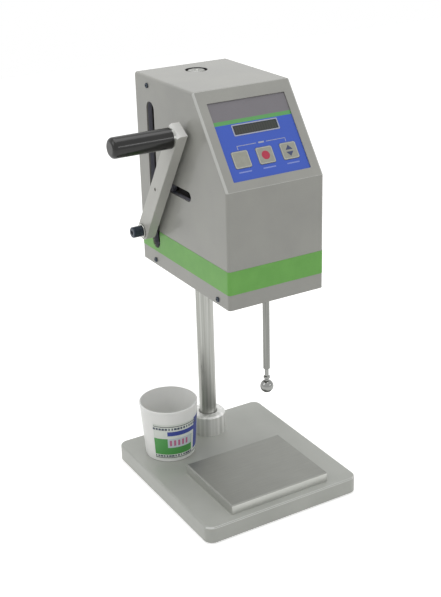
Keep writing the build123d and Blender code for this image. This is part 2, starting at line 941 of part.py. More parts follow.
def floor_screw_form(x, y, grow):
    neck = head_floor + floor_screw_head_height
    radius = floor_screw_radius + grow
    head = Cone(floor_screw_head + grow, radius, floor_screw_head_height)
    head = Pos(x, y, head_floor + floor_screw_head_height / 2) * head
    return head + rod_z(x, y, radius, neck, floor_top + floor_screw_reach)


def make_floor_screws():
    screws = []
    for x, y in floor_screw_spots():
        slot = Box(floor_slot_length, floor_slot_width, floor_slot_depth)
        slot = Pos(x, y, head_floor + floor_slot_depth / 2) * slot
        screws.append(floor_screw_form(x, y, 0.0) - slot)
    return screws


def floor_screw_taps(body):
    for x, y in floor_screw_spots():
        body -= rod_z(x, y, floor_screw_radius + press_gap, floor_top, floor_top + floor_screw_reach)
    return body


def make_top_ring():
    outer = top_hole_radius - press_gap
    ring = rod_z(0, column_y, outer, head_top - top_ring_depth, head_top)
    return ring - rod_z(0, column_y, outer - top_ring_wall, head_top - top_ring_depth, head_top)


def make_cover_screws():
    """Black button-head screws in both sides of the cover."""
    screws = []
    for y, z in screw_spots:
        head = rod_x(y, z, cover_head_radius, -half_head - cover_head_height, -half_head)
        head = fillet(head.edges().filter_by(GeomType.CIRCLE).sort_by(Axis.X)[0], cover_head_edge)
        socket = extrude(RegularPolygon(cover_key_radius, 6), cover_key_depth)
        head -= Pos(-half_head - cover_head_height, y, z) * Rot(0, 90, 0) * socket
        screw = head + rod_x(y, z, cover_screw_radius, -half_head, -half_head + cover_screw_length)
        screws += [screw, mirrored_x(screw)]
    return screws


# Spindle drive

def pillar_spots():
    half = motor_plate_size / 2 - pillar_inset
    return [(x, spindle_y + y) for x in (-half, half) for y in (-half, half)]


def make_bearing_housing():
    outer = bearing_radius + housing_wall
    block_top = floor_top + lower_block_height
    body = rod_z(0, spindle_y, outer, floor_top, housing_top)
    body += rod_z(0, spindle_y, housing_flange_radius, block_top, block_top + housing_flange)
    body -= rod_z(0, spindle_y, bearing_radius - bearing_shoulder, floor_top, housing_top)
    for low in bearing_lows():
        body -= rod_z(0, spindle_y, bearing_radius + press_gap, low, low + bearing_width)
    return body


def bearing_lows():
    return [floor_top, housing_top - bearing_width]


def make_bearings():
    """Two sealed ball bearings: rings with a shallow groove for the seal."""
    rings = []
    bore = shaft_radius + run_gap
    for low in bearing_lows():
        high = low + bearing_width
        ring = turned(
            [
                (bore, low), (seal_inner_radius, low), (seal_inner_radius, low + seal_recess),
                (seal_outer_radius, low + seal_recess), (seal_outer_radius, low), (bearing_radius, low),
                (bearing_radius, high), (seal_outer_radius, high), (seal_outer_radius, high - seal_recess),
                (seal_inner_radius, high - seal_recess), (seal_inner_radius, high), (bore, high),
            ],
            0, spindle_y,
        )
        rings.append(ring)
    return rings


def make_drive_shaft():
    high = coupling_bottom + coupling_length / 2 - shaft_end_gap
    shaft = rod_z(0, spindle_y, shaft_radius, shaft_bottom, high)
    shaft = chamfer(shaft.edges().filter_by(GeomType.CIRCLE), shaft_edge)
    return shaft - rod_z(
        0, spindle_y, tip_neck_radius + press_gap, shaft_bottom, shaft_bottom + tip_thread
    )


def make_spindle_tip():
    """Screw-in spindle: stem, collar and measuring ball in one turned piece."""
    ball_z = head_floor - ball_drop
    neck_low = shaft_bottom - tip_neck_length
    collar_low = neck_low - tip_collar_length
    stem = turned(
        [
            (0, shaft_bottom + tip_thread), (tip_neck_radius, shaft_bottom + tip_thread),
            (tip_neck_radius, neck_low), (tip_collar_radius, neck_low - tip_shoulder),
            (tip_collar_radius, collar_low + tip_taper), (tip_waist_radius, collar_low),
            (tip_waist_radius, ball_z), (0, ball_z),
        ],
        0, spindle_y,
    )
    return stem + Pos(0, spindle_y, ball_z) * Sphere(ball_radius)


def make_coupling():
    body = rod_z(0, spindle_y, coupling_radius, coupling_bottom, coupling_top)
    body = chamfer(body.edges().filter_by(GeomType.CIRCLE), shaft_edge)
    middle = (coupling_bottom + coupling_top) / 2
    body -= rod_z(0, spindle_y, shaft_radius + press_gap, coupling_bottom, middle)
    body -= rod_z(0, spindle_y, motor_shaft_radius + press_gap, middle, coupling_top)
    slit = Box(coupling_radius, 2 * coupling_radius + coupling_slit, coupling_slit)
    for turn in (-1, 0, 1):
        place = Pos(coupling_radius / 2 + coupling_web, 0, middle + turn * coupling_slit_pitch)
        body -= Pos(0, spindle_y, 0) * Rot(0, 0, 90 * (turn + 1)) * place * slit
    return body


def make_motor_shaft():
    middle = (coupling_bottom + coupling_top) / 2
    return rod_z(0, spindle_y, motor_shaft_radius, middle + shaft_end_gap, motor_bottom + motor_shaft_depth)


def make_pillars():
    low = floor_top + lower_block_height
    return [
        rod_z(x, y, pillar_radius, low, motor_plate_z)
        + rod_z(x, y, pillar_thread_radius, low - pillar_thread_depth, low)
        for x, y in pillar_spots()
    ]


def make_motor_plate():
    plate = Pos(0, spindle_y, motor_plate_z) * rounded_slab(
        motor_plate_size, motor_plate_size, motor_plate_thickness, motor_plate_corner
    )
    plate -= rod_z(0, spindle_y, motor_pilot_radius, motor_plate_z, motor_bottom)
    for x, y in pillar_spots():
        plate -= rod_z(x, y, pillar_hole_radius, motor_plate_z, motor_bottom)
    return plate


def make_motor():
    top = motor_bottom + motor_length
    can = rod_z(0, spindle_y, motor_radius, motor_bottom, top)
    can = fillet(can.edges().filter_by(GeomType.CIRCLE).sort_by(Axis.Z)[-1], motor_edge)
    can += rod_z(0, spindle_y, motor_boss_radius, top, top + motor_boss)
    wall = spindle_y + motor_radius
    high = top - terminal_drop
    can += block(
        -terminal_width / 2, terminal_width / 2, wall - terminal_reach, wall + terminal_reach,
        high - terminal_height, high,
    )
    bore_end = motor_bottom + motor_shaft_depth + tap_end
    return can - rod_z(0, spindle_y, motor_shaft_radius + run_gap, motor_bottom, bore_end)


# Control panel, square to the slope: heights are measured outwards from its face

def key_places():
    return [(-key_pitch, key_centre), (0.0, key_centre), (key_pitch, key_centre)]


def make_front_panel():
    pad = panel_opening(seat_gap, flange_back, pad_face)
    flange = panel_opening(-panel_flange, flange_back, flange_face)
    plate = pad + flange
    plate -= (
        slope
        * Pos(0, display_centre, flange_back)
        * rounded_slab(
            display_width - 2 * display_border, display_height - 2 * display_border,
            pad_face - flange_back, display_corner,
        )
    )
    for x, up in key_places():
        plate -= (
            slope
            * Pos(x, up, flange_back)
            * rounded_slab(
                key_width + 2 * move_gap, key_height + 2 * move_gap, pad_face - flange_back,
                key_corner + move_gap,
            )
        )
    return plate


def make_display_window():
    return (
        slope
        * Pos(0, display_centre, flange_back)
        * rounded_slab(
            display_width - 2 * display_border - 2 * seat_gap,
            display_height - 2 * display_border - 2 * seat_gap,
            pad_face - flange_back - window_recess, window_corner,
        )
    )


def make_display_bezel():
    outer = rounded_slab(display_width, display_height, display_proud, bezel_corner)
    inner = rounded_slab(
        display_width - 2 * display_border, display_height - 2 * display_border, display_proud,
        display_corner,
    )
    return slope * Pos(0, display_centre, pad_face) * (outer - inner)


def make_display_module():
    body = rounded_slab(
        module_width, module_height - module_body_trim, module_depth - board_thickness, module_corner
    )
    board = rounded_slab(module_width, module_height - module_board_trim, board_thickness, module_corner)
    board = Pos(0, 0, -board_thickness) * board
    low = flange_back - module_depth + board_thickness
    return slope * Pos(0, display_centre + module_rise, low) * (body + board)


def make_key(place):
    x, up = place
    top = pad_face + key_proud
    lip_top = flange_back - move_gap
    cap = rounded_slab(key_width, key_height, top - lip_top, key_corner)
    cap = fillet(cap.faces().sort_by(Axis.Z)[-1].edges(), key_edge)
    lip = Pos(0, 0, -key_lip_thickness) * rounded_slab(
        key_width + 2 * key_lip, key_height + 2 * key_lip, key_lip_thickness, key_corner
    )
    return slope * Pos(x, up, lip_top) * (cap + lip)


def key_board_face():
    return flange_back - key_board_depth


def post_x():
    """The board's posts stand just outside the lips of the outer keys."""
    return key_pitch + key_width / 2 + key_lip + move_gap + standoff_radius


def make_key_board():
    width = 2 * (post_x() + standoff_radius + key_board_edge)
    board = rounded_slab(width, key_board_height, board_thickness, key_board_corner)
    board = slope * Pos(0, key_centre - key_board_drop, key_board_face() - board_thickness) * board
    for x, up in board_post_places():
        post = Pos(x, up, (key_board_face() + flange_back) / 2) * Cylinder(
            standoff_radius, flange_back - key_board_face()
        )
        board += slope * post
    return board


def board_post_places():
    middle = key_centre - key_board_drop
    return [
        (side * post_x(), middle + up) for side in (-1, 1) for up in (-key_post_rise, key_post_rise)
    ]


def make_key_switches():
    """Three snap switches, each with its plunger just under a key."""
    face = key_board_face()
    under_key = flange_back - move_gap - key_lip_thickness - key_travel - key_stem_gap
    switches = []
    for x, up in key_places():
        body = Box(key_switch_size, key_switch_size, key_switch_height)
        body = Pos(x, up, face + key_switch_height / 2) * body
        stem = Pos(x, up, (face + under_key) / 2) * Cylinder(key_stem_radius, under_key - face)
        switches.append(slope * (body + stem))
    return switches


# Electronics

def make_control_board():
    x1 = frame_inside - board_standoff
    return block(
        x1 - board_thickness, x1, board_y - board_depth / 2, board_y + board_depth / 2,
        board_z - board_height / 2, board_z + board_height / 2,
    )


def make_board_standoffs():
    along = board_depth / 2 - standoff_inset
    up = board_height / 2 - standoff_inset
    spots = [(board_y + y, board_z + z) for y in (-along, along) for z in (-up, up)]
    return [
        rod_x(y, z, board_post_radius, frame_inside - board_standoff, frame_inside) for y, z in spots
    ]


def on_board(depth, length, height, y, z):
    """A block on the board's inner face, its middle at y and z from the board's centre."""
    face = frame_inside - board_standoff - board_thickness
    return Pos(face - depth / 2, board_y + y, board_z + z) * Box(depth, length, height)


def make_board_components():
    face = frame_inside - board_standoff - board_thickness
    chip = on_board(chip_thickness, chip_size, chip_size, chip_y, chip_z)
    regulator = on_board(
        regulator_depth, regulator_thickness, regulator_height, regulator_y, regulator_z
    )
    plug = on_board(plug_depth, plug_length, plug_height, plug_y, plug_z)
    capacitors = [
        rod_x(
            board_y + capacitor_y + capacitor_pitch * n, board_z + capacitor_z, capacitor_radius,
            face - capacitor_length, face,
        )
        for n in range(2)
    ]
    return [chip, regulator, plug] + capacitors


def make_power_supply():
    """Mains supply in a folded case with cooling fins, on the right frame plate."""
    low = head_floor + supply_above_floor
    rear = supply_front + supply_depth
    outer = frame_inside
    inner = outer - supply_width
    case = block(inner, outer, supply_front, rear, low, low + supply_height)
    case = fillet(case.edges().filter_by(Axis.Z), supply_corner)
    for n in range(fin_count):
        z = low + fin_start + fin_pitch * n
        case -= block(
            inner, inner + fin_depth, supply_front + fin_margin, rear - fin_margin, z, z + fin_groove
        )
    return case


# Rear panel

def make_back():
    plate = block(
        -cover_inside + seat_gap, cover_inside - seat_gap, back_inside, back_outside,
        floor_top + seat_gap, ceiling - seat_gap,
    )
    low = head_floor + inlet_above_floor
    across = inlet_width / 2 + seat_gap
    up = inlet_height / 2 + seat_gap
    plate -= block(
        inlet_x - across, inlet_x + across, back_inside, back_outside, low - up, low + up
    )
    across = rocker_width / 2 + rocker_frame - switch_hole_step
    up = rocker_height / 2 + rocker_frame - switch_hole_step
    plate -= block(
        switch_x - across, switch_x + across, back_inside, back_outside, low - up, low + up
    )
    for n in range(vent_count):
        z = head_floor + vent_above_floor + vent_pitch * n
        cut = Pos(0, back_inside, z) * Rot(-90, 0, 0) * extrude(
            SlotOverall(vent_width, vent_height), back_thickness
        )
        plate -= cut
    for x, z in spacer_spots():
        plate -= rod_y(x, z, back_hole_radius, back_inside, back_outside)
    for side in (-1, 1):
        x = inlet_x + side * inlet_screw_pitch / 2
        plate -= rod_y(x, low, back_screw_radius + press_gap, back_inside, back_outside)
    return plate


def make_back_spacers():
    rear = column_y + block_depth / 2
    spacers = []
    for x, z in spacer_spots():
        body = rod_y(x, z, spacer_radius, rear, back_inside)
        body += rod_y(x, z, spacer_thread_radius, rear - spacer_thread_depth, rear)
        tap = rod_y(
            x, z, back_screw_radius + press_gap, back_inside - spacer_thread_depth, back_inside
        )
        spacers.append(body - tap)
    return spacers


def make_back_screws():
    screws = []
    for x, z in spacer_spots():
        head = rod_y(x, z, back_head_radius, back_outside, back_outside + back_head_height)
        head = fillet(head.edges().filter_by(GeomType.CIRCLE).sort_by(Axis.Y)[-1], back_head_edge)
        thread = rod_y(x, z, back_screw_radius, back_inside - back_screw_reach, back_outside)
        screws.append(head + thread)
    for side in (-1, 1):
        x = inlet_x + side * inlet_screw_pitch / 2
        z = head_floor + inlet_above_floor
        outer = back_outside + inlet_flange
        head = rod_y(x, z, inlet_head_radius, outer, outer + inlet_head_height)
        screws.append(head + rod_y(x, z, back_screw_radius, back_inside - inlet_screw_reach, outer))
    return screws


def make_inlet():
    """Appliance inlet: flanged socket with a chamfered cavity and seats for its blades."""
    z = head_floor + inlet_above_floor
    face = back_outside + inlet_flange
    body = block(
        inlet_x - inlet_width / 2, inlet_x + inlet_width / 2, face - inlet_depth, back_outside,
        z - inlet_height / 2, z + inlet_height / 2,
    )
    flange = block(
        inlet_x - inlet_flange_width / 2, inlet_x + inlet_flange_width / 2, back_outside, face,
        z - inlet_flange_height / 2, z + inlet_flange_height / 2,
    )
    flange = fillet(flange.edges().filter_by(Axis.Y), inlet_flange_corner)
    cavity = block(
        inlet_x - inlet_socket_width / 2, inlet_x + inlet_socket_width / 2, face - inlet_socket_depth, face,
        z - inlet_socket_height / 2, z + inlet_socket_height / 2,
    )
    cavity = chamfer(cavity.edges().filter_by(Axis.Y).group_by(Axis.Z)[-1], inlet_socket_corner)
    inlet = body + flange - cavity
    for side in (-1, 1):
        x = inlet_x + side * inlet_screw_pitch / 2
        inlet -= rod_y(x, z, back_screw_radius + press_gap, back_outside, face)
    for x, pin_z in inlet_pin_spots():
        inlet -= inlet_pin_form(x, pin_z, press_gap)
    return inlet


def inlet_pin_spots():
    z = head_floor + inlet_above_floor
    return [
        (inlet_x + side * inlet_pin_pitch, z + (inlet_pin_rise if side == 0 else -inlet_pin_rise))
        for side in (-1, 0, 1)
    ]


def inlet_pin_form(x, z, grow):
    floor_y = back_outside + inlet_flange - inlet_socket_depth
    return block(
        x - inlet_pin_width / 2 - grow, x + inlet_pin_width / 2 + grow,
        floor_y - inlet_pin_root, floor_y + inlet_pin_length,
        z - inlet_pin_height / 2 - grow, z + inlet_pin_height / 2 + grow,
    )


def make_inlet_pins():
    return [inlet_pin_form(x, z, 0.0) for x, z in inlet_pin_spots()]


def make_switch_frame():
    """Frame of the power switch, with bearings for the rocker's pin."""
    z = head_floor + inlet_above_floor
    frame_w = rocker_width / 2 + rocker_frame
    frame_h = rocker_height / 2 + rocker_frame
    hole_w = rocker_width / 2 + move_gap
    hole_h = rocker_height / 2 + move_gap
    front = back_outside + switch_flange
    body = Pos(switch_x, 0, z) * block(
        -frame_w + switch_body_step, frame_w - switch_body_step, back_outside - switch_depth,
        back_outside, -frame_h + switch_body_step, frame_h - switch_body_step,
    )
    body += Pos(switch_x, 0, z) * block(
        -frame_w - switch_flange_lip, frame_w + switch_flange_lip, back_outside, front,
        -frame_h - switch_flange_lip, frame_h + switch_flange_lip,
    )
    body -= Pos(switch_x, 0, z) * block(
        -hole_w, hole_w, back_outside - switch_cavity, front, -hole_h, hole_h
    )
    half = rocker_width / 2 + rocker_pin_seat
    return body - rod_x(rocker_pivot_y(), z, rocker_pin_radius + run_gap, switch_x - half, switch_x + half)


def rocker_pivot_y():
    return back_outside - rocker_pivot_depth


def make_rocker():
    """Rocker with a shallow V face, tipped to its off side."""
    z = head_floor + inlet_above_floor
    half = rocker_height / 2 - rocker_end_gap
    back_half = half * rocker_back_share
    dip = rocker_pivot_y() + rocker_face_rise
    back = dip - rocker_depth + rocker_back_rise
    rise = half * math.tan(math.radians(rocker_tilt))
    outline = make_face(
        Polyline(
            (back, -back_half), (back, back_half),
            (rocker_pivot_y(), half), (dip + rise, half), (dip, 0), (dip + rise, -half),
            (rocker_pivot_y(), -half),
            close=True,
        )
    )
    x0 = switch_x - rocker_width / 2
    body = Pos(x0, 0, z) * extrude(Plane.YZ * outline, rocker_width, dir=(1, 0, 0))
    pin = rod_x(
        rocker_pivot_y(), z, rocker_pin_radius, x0 - rocker_pin_reach,
        x0 + rocker_width + rocker_pin_reach,
    )
    tip = Pos(0, rocker_pivot_y(), z) * Rot(-rocker_tilt, 0, 0) * Pos(0, -rocker_pivot_y(), -z)
    return tip * (body + pin)


# Sample cup

def cup_radius(height):
    """Outer radius of the tapered wall at a height above the cup's foot."""
    return cup_foot_radius + (cup_shoulder_radius - cup_foot_radius) * height / cup_shoulder_height


def make_cup():
    z = base_height
    rim = z + cup_height
    shoulder = z + cup_shoulder_height
    band = cup_rim_radius - cup_bead
    inner_foot = cup_foot_radius - cup_wall
    outside = [
        (0, z + cup_foot_edge), (cup_foot_radius - cup_foot_ring, z + cup_foot_edge),
        (cup_foot_radius - cup_foot_ring, z), (cup_foot_radius - cup_foot_edge, z),
        (cup_radius(cup_foot_edge), z + cup_foot_edge), (cup_shoulder_radius, shoulder),
        (band, rim - cup_bead_height), (cup_rim_radius, rim - cup_bead_height + cup_bead),
        (cup_rim_radius, rim - cup_bead), (cup_rim_radius - cup_bead, rim),
    ]
    inside = [
        (band - cup_wall, rim), (band - cup_wall, rim - cup_bead_height),
        (cup_shoulder_radius - cup_wall, shoulder), (inner_foot, z + 2 * cup_floor),
        (inner_foot - cup_floor, z + cup_floor), (0, z + cup_floor),
    ]
    return turned(outside + inside, cup_x, cup_y)


def make_label():
    z = base_height
    low = cup_radius(label_low) + move_gap
    high = cup_radius(label_high) + move_gap
    profile = make_face(
        Polyline(
            (low, 0, z + label_low), (low + label_thickness, 0, z + label_low),
            (high + label_thickness, 0, z + label_high), (high, 0, z + label_high),
            close=True,
        )
    )
    wrap = revolve(profile, Axis.Z, label_arc)
    return Pos(cup_x, cup_y, 0) * Rot(0, 0, label_turn - label_arc / 2) * wrap


def main():
    os.makedirs("parts", exist_ok=True)
    save("base_plate", make_base())
    save("base_mat", make_mat())
    save("work_plate", make_work_plate())
    save("column_collar", make_collar())
    save("base_screws", *[cap_screw(x, y) for x, y in work_plate_screw_spots() + collar_screw_spots()])
    save("collar_grub_screw", make_collar_grub())
    save("column", make_column())
    save("column_bolt", make_column_bolt())
    save("pivot_clamp", make_clamp())
    save("clamp_bolts", *make_clamp_bolts())
    save("pivot_shaft", make_pivot_shaft())
    save("pivot_washer", make_pivot_washer())
    save("pivot_knob", make_pivot_knob())
    save("lever_arm", make_lever())
    save("lever_bush", make_lever_bush())
    save("lever_grip", make_grip())
    save("grip_rod", make_grip_rod())
    save("grip_washer", make_grip_washer())
    save("follower_roller", make_follower_roller())
    save("follower_stud", make_follower_stud())
    save("head_cover", make_cover())
    save("head_band", make_band())
    save("top_ring", make_top_ring())
    save("cover_screws", *make_cover_screws())
    save("left_frame_plate", make_frame_plate(-1))
    save("right_frame_plate", make_frame_plate(1))
    lower_top = floor_top + lower_block_height
    save("lower_block", floor_screw_taps(make_cross_block(floor_top, lower_top, screw_spots[1])))
    save("upper_block", make_cross_block(upper_block_bottom, upper_block_top, screw_spots[0]))
    save("front_block", floor_screw_taps(make_front_block()))
    save("lower_bush", make_bush(floor_top, lower_top, 1))
    save("upper_bush", make_bush(upper_block_bottom, upper_block_top, -1))
    save("head_floor", make_floor())
    save("floor_screws", *make_floor_screws())
    save("bearing_housing", make_bearing_housing())
    save("spindle_bearings", *make_bearings())
    save("drive_shaft", make_drive_shaft())
    save("spindle_tip", make_spindle_tip())
    save("shaft_coupling", make_coupling())
    save("motor_shaft", make_motor_shaft())
    save("motor_pillars", *make_pillars())
    save("motor_plate", make_motor_plate())
    save("drive_motor", make_motor())
    save("front_panel", make_front_panel())
    save("display_window", make_display_window())
    save("display_bezel", make_display_bezel())
    save("display_module", make_display_module())
    for name, place in zip(("key_left", "key_centre", "key_right"), key_places()):
        save(name, make_key(place))
    save("key_board", make_key_board())
    save("key_switches", *make_key_switches())
    save("control_board", make_control_board(), *make_board_components(), *make_board_standoffs())
    save("power_supply", make_power_supply())
    save("rear_panel", make_back())
    save("rear_screws", *make_back_screws(), *make_back_spacers())
    save("mains_inlet", make_inlet(), *make_inlet_pins())
    save("power_switch_frame", make_switch_frame())
    save("power_switch_rocker", make_rocker())
    save("sample_cup", make_cup())
    save("cup_label", make_label())


main()
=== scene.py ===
import bpy, bmesh, json, math
from mathutils import Matrix, Vector

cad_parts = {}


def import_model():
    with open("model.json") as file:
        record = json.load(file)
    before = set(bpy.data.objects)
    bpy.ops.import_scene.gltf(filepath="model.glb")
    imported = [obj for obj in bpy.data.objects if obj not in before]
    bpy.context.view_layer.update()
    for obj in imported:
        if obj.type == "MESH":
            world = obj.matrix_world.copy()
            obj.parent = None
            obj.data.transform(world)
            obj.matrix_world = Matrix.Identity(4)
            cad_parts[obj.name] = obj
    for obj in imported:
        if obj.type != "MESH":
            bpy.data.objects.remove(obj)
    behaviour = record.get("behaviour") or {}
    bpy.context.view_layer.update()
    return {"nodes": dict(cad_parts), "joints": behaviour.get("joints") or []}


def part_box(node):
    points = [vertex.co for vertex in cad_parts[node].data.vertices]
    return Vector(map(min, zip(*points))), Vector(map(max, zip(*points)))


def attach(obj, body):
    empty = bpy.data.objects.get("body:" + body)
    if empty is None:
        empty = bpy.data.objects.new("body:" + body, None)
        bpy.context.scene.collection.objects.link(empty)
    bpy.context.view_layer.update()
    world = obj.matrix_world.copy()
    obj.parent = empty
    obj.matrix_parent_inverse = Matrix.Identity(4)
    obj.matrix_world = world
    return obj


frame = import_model()
nodes = frame["nodes"]
MM = 0.001
PER_METRE = 1000.0


# Helpers for colour, nodes and materials

def srgb(code):
    """An sRGB hex value as the linear colour that a shader takes."""
    parts = [int(code[n:n + 2], 16) / 255 for n in (1, 3, 5)]
    linear = tuple(c / 12.92 if c <= 0.04045 else ((c + 0.055) / 1.055) ** 2.4 for c in parts)
    return linear + (1.0,)


def add(tree, kind, inputs=None, **settings):
    """A node with its settings and links; an input is a value, a socket or a whole node."""
    node = tree.nodes.new(kind)
    for name, value in settings.items():
        setattr(node, name, value)
    for name, value in (inputs or {}).items():
        named = [s for s in node.inputs if s.enabled and s.name == name]
        socket = named[0] if named else node.inputs[name]
        if isinstance(value, bpy.types.Node):
            value = next(s for s in value.outputs if s.enabled)
        if isinstance(value, bpy.types.NodeSocket):
            tree.links.new(value, socket)
        else:
            socket.default_value = value
    return node


def begin(name, colour):
    """An empty material, its tree and the piece's own coordinates in millimetres."""
    material = bpy.data.materials.new(name)
    material.use_nodes = True
    material.diffuse_color = srgb(colour)
    tree = material.node_tree
    tree.nodes.clear()
    own = add(tree, "ShaderNodeTexCoord").outputs["Object"]
    place = add(tree, "ShaderNodeMapping", {"Vector": own, "Scale": (PER_METRE,) * 3})
    return material, tree, place


# The slope of the head, read from the way the keys travel

key_axis = next(j["axis"] for j in frame["joints"] if j["name"] == "key_centre_press")
slope_out = -Vector(key_axis).normalized()
slope_up = slope_out.cross(Vector((1, 0, 0))).normalized()


def slope_span(node):
    """Lowest and highest place of a node across, up and out from the slope, in metres."""
    points = [v.co for v in nodes[node].data.vertices]
    spots = [(p.x, p.dot(slope_up), p.dot(slope_out)) for p in points]
    low = [min(spot[n] for spot in spots) for n in range(3)]
    high = [max(spot[n] for spot in spots) for n in range(3)]
    return low, high


def on_slope(across, up, out):
    """A place in the frame, from one across, up and out from the slope."""
    return Vector((across, 0, 0)) + slope_up * up + slope_out * out


_, panel_high = slope_span("front_panel")
face_out = panel_high[2]
flange = 4.0 * MM         # hidden edge of the panel, behind the cover
panel_top = panel_high[1] - flange
strip_height = 21.9 * MM  # grey strip across the panel's top
line_height = 4.6 * MM    # green line under it
ink = 0.04 * MM           # a print's rise above the film, and its depth below the film's face
print_line = 0.7 * MM     # width of the fine lines on the panel


# Painted and coated metals

def powder_coat(name, low, high, bend_highlight_tone):
    """Polyester powder baked on steel sheet: satin, orange peel, and a painted highlight on the
    forward bends.
    """
    cloud_size, peel_size, peel_depth = 60.0, 1.6, 0.012
    bend_rise, bend_spread, forward_limit, slope_limit = 0.5, 0.36, -0.3, 0.97  # parts of a normal
    material, tree, place = begin(name, high)
    cloud = add(
        tree, "ShaderNodeTexNoise", {"Vector": place, "Scale": 1 / cloud_size, "Detail": 4.0}
    )
    level = add(tree, "ShaderNodeMapRange", {"Value": cloud, "From Min": 0.35, "From Max": 0.65})
    tone = add(
        tree, "ShaderNodeMix", {"Factor": level, "A": srgb(low), "B": srgb(high)}, data_type="RGBA"
    )
    facing = add(tree, "ShaderNodeNewGeometry").outputs["Normal"]
    parts = add(tree, "ShaderNodeSeparateXYZ", {"Vector": facing}).outputs
    along_slope = add(
        tree, "ShaderNodeVectorMath", {0: facing, 1: slope_out}, operation="DOT_PRODUCT"
    )
    # Painted highlight: faces between the front and the slope that turn forward get a paler tone,
    # standing in for the light their bends catch.
    bend = add(
        tree, "ShaderNodeMath", {0: parts["Z"], 1: bend_rise, 2: bend_spread}, operation="COMPARE"
    )
    forward = add(tree, "ShaderNodeMath", {0: parts["Y"], 1: forward_limit}, operation="LESS_THAN")
    off_slope = add(tree, "ShaderNodeMath", {0: along_slope, 1: slope_limit}, operation="LESS_THAN")
    painted_highlight_mask = add(tree, "ShaderNodeMath", {0: bend, 1: forward}, operation="MULTIPLY")
    painted_highlight_mask = add(tree, "ShaderNodeMath", {0: painted_highlight_mask, 1: off_slope}, operation="MULTIPLY")
    tone = add(
        tree, "ShaderNodeMix", {"Factor": painted_highlight_mask, "A": tone, "B": srgb(bend_highlight_tone)},
        data_type="RGBA",
    )
    peel = add(tree, "ShaderNodeTexNoise", {"Vector": place, "Scale": 1 / peel_size, "Detail": 2.0})
    relief = add(
        tree, "ShaderNodeBump", {"Height": peel, "Strength": 0.6, "Distance": peel_depth * MM}
    )
    sheen = add(tree, "ShaderNodeMapRange", {"Value": cloud, "To Min": 0.38, "To Max": 0.48})
    shader = add(tree, "ShaderNodeBsdfPrincipled", {
        "Base Color": tone, "Roughness": sheen, "IOR": 1.5, "Normal": relief,
        "Coat Weight": 0.35, "Coat Roughness": 0.13,
    })
    add(tree, "ShaderNodeOutputMaterial", {"Surface": shader})
    return material


def anodised_aluminium():
    """Anodised plate inside the head: blue-grey, matt, with soft lines left by the cutter."""
    line_width = 1.4   # real cutter lines are finer; drawn wide enough to show
    material, tree, place = begin("anodised_aluminium", "#8E8E9A")
    drawn = add(tree, "ShaderNodeMapping", {"Vector": place, "Scale": (1.0, 0.04, 1.0)})
    lines = add(
        tree, "ShaderNodeTexNoise", {"Vector": drawn, "Scale": 1 / line_width, "Detail": 3.0}
    )
    tone = add(
        tree, "ShaderNodeMix", {"Factor": lines, "A": srgb("#868692"), "B": srgb("#9A9AA6")},
        data_type="RGBA",
    )
    rough = add(tree, "ShaderNodeMapRange", {"Value": lines, "To Min": 0.46, "To Max": 0.6})
    shader = add(tree, "ShaderNodeBsdfPrincipled", {
        "Base Color": tone, "Roughness": rough, "Metallic": 0.3, "IOR": 1.6,
    })
    add(tree, "ShaderNodeOutputMaterial", {"Surface": shader})
    return material


# Bare and plated metals

def ground_tool_steel():
    """Surface-ground tool steel: fine lines along X, a dull, stained top, and milled sides painted
    brighter as a painted reflection of the pale base.
    """
    line_width, stain_size, line_depth = 0.7, 34.0, 0.01   # lines drawn wide enough to show
    top_limit = 0.5   # a face is the top where its normal rises more than this
    material, tree, place = begin("ground_tool_steel", "#8C8D88")
    drawn = add(tree, "ShaderNodeMapping", {"Vector": place, "Scale": (0.02, 1.0, 1.0)})
    lines = add(
        tree, "ShaderNodeTexNoise", {"Vector": drawn, "Scale": 1 / line_width, "Detail": 4.0}
    )
    stains = add(
        tree, "ShaderNodeTexNoise", {"Vector": place, "Scale": 1 / stain_size, "Detail": 5.0}
    )
    wear = add(
        tree, "ShaderNodeMix", {"Factor": stains, "A": srgb("#81827D"), "B": srgb("#A0A19C")},
        data_type="RGBA",
    )
    grind = add(
        tree, "ShaderNodeMix", {"Factor": lines, "A": srgb("#7C7D79"), "B": srgb("#A9AAA5")},
        data_type="RGBA",
    )
    top = add(tree, "ShaderNodeMix", {"Factor": 0.45, "A": wear, "B": grind}, data_type="RGBA")
    facing = add(tree, "ShaderNodeNewGeometry").outputs["Normal"]
    rise = add(tree, "ShaderNodeSeparateXYZ", {"Vector": facing}).outputs["Z"]
    flat = add(tree, "ShaderNodeMath", {0: rise, 1: top_limit}, operation="GREATER_THAN")
    # Painted reflection: the sides get a pale colour in place of the bright base they mirror; the
    # top keeps its ground and stained tone.
    tone = add(
        tree, "ShaderNodeMix", {"Factor": flat, "A": srgb("#C2C3BF"), "B": top}, data_type="RGBA"
    )
    rough = add(tree, "ShaderNodeMapRange", {"Value": stains, "To Min": 0.36, "To Max": 0.52})
    relief = add(
        tree, "ShaderNodeBump", {"Height": lines, "Strength": 0.5, "Distance": line_depth * MM}
    )
    shader = add(tree, "ShaderNodeBsdfPrincipled", {
        "Base Color": tone, "Roughness": rough, "Metallic": 1.0, "Normal": relief,
    })
    add(tree, "ShaderNodeOutputMaterial", {"Surface": shader})
    return material


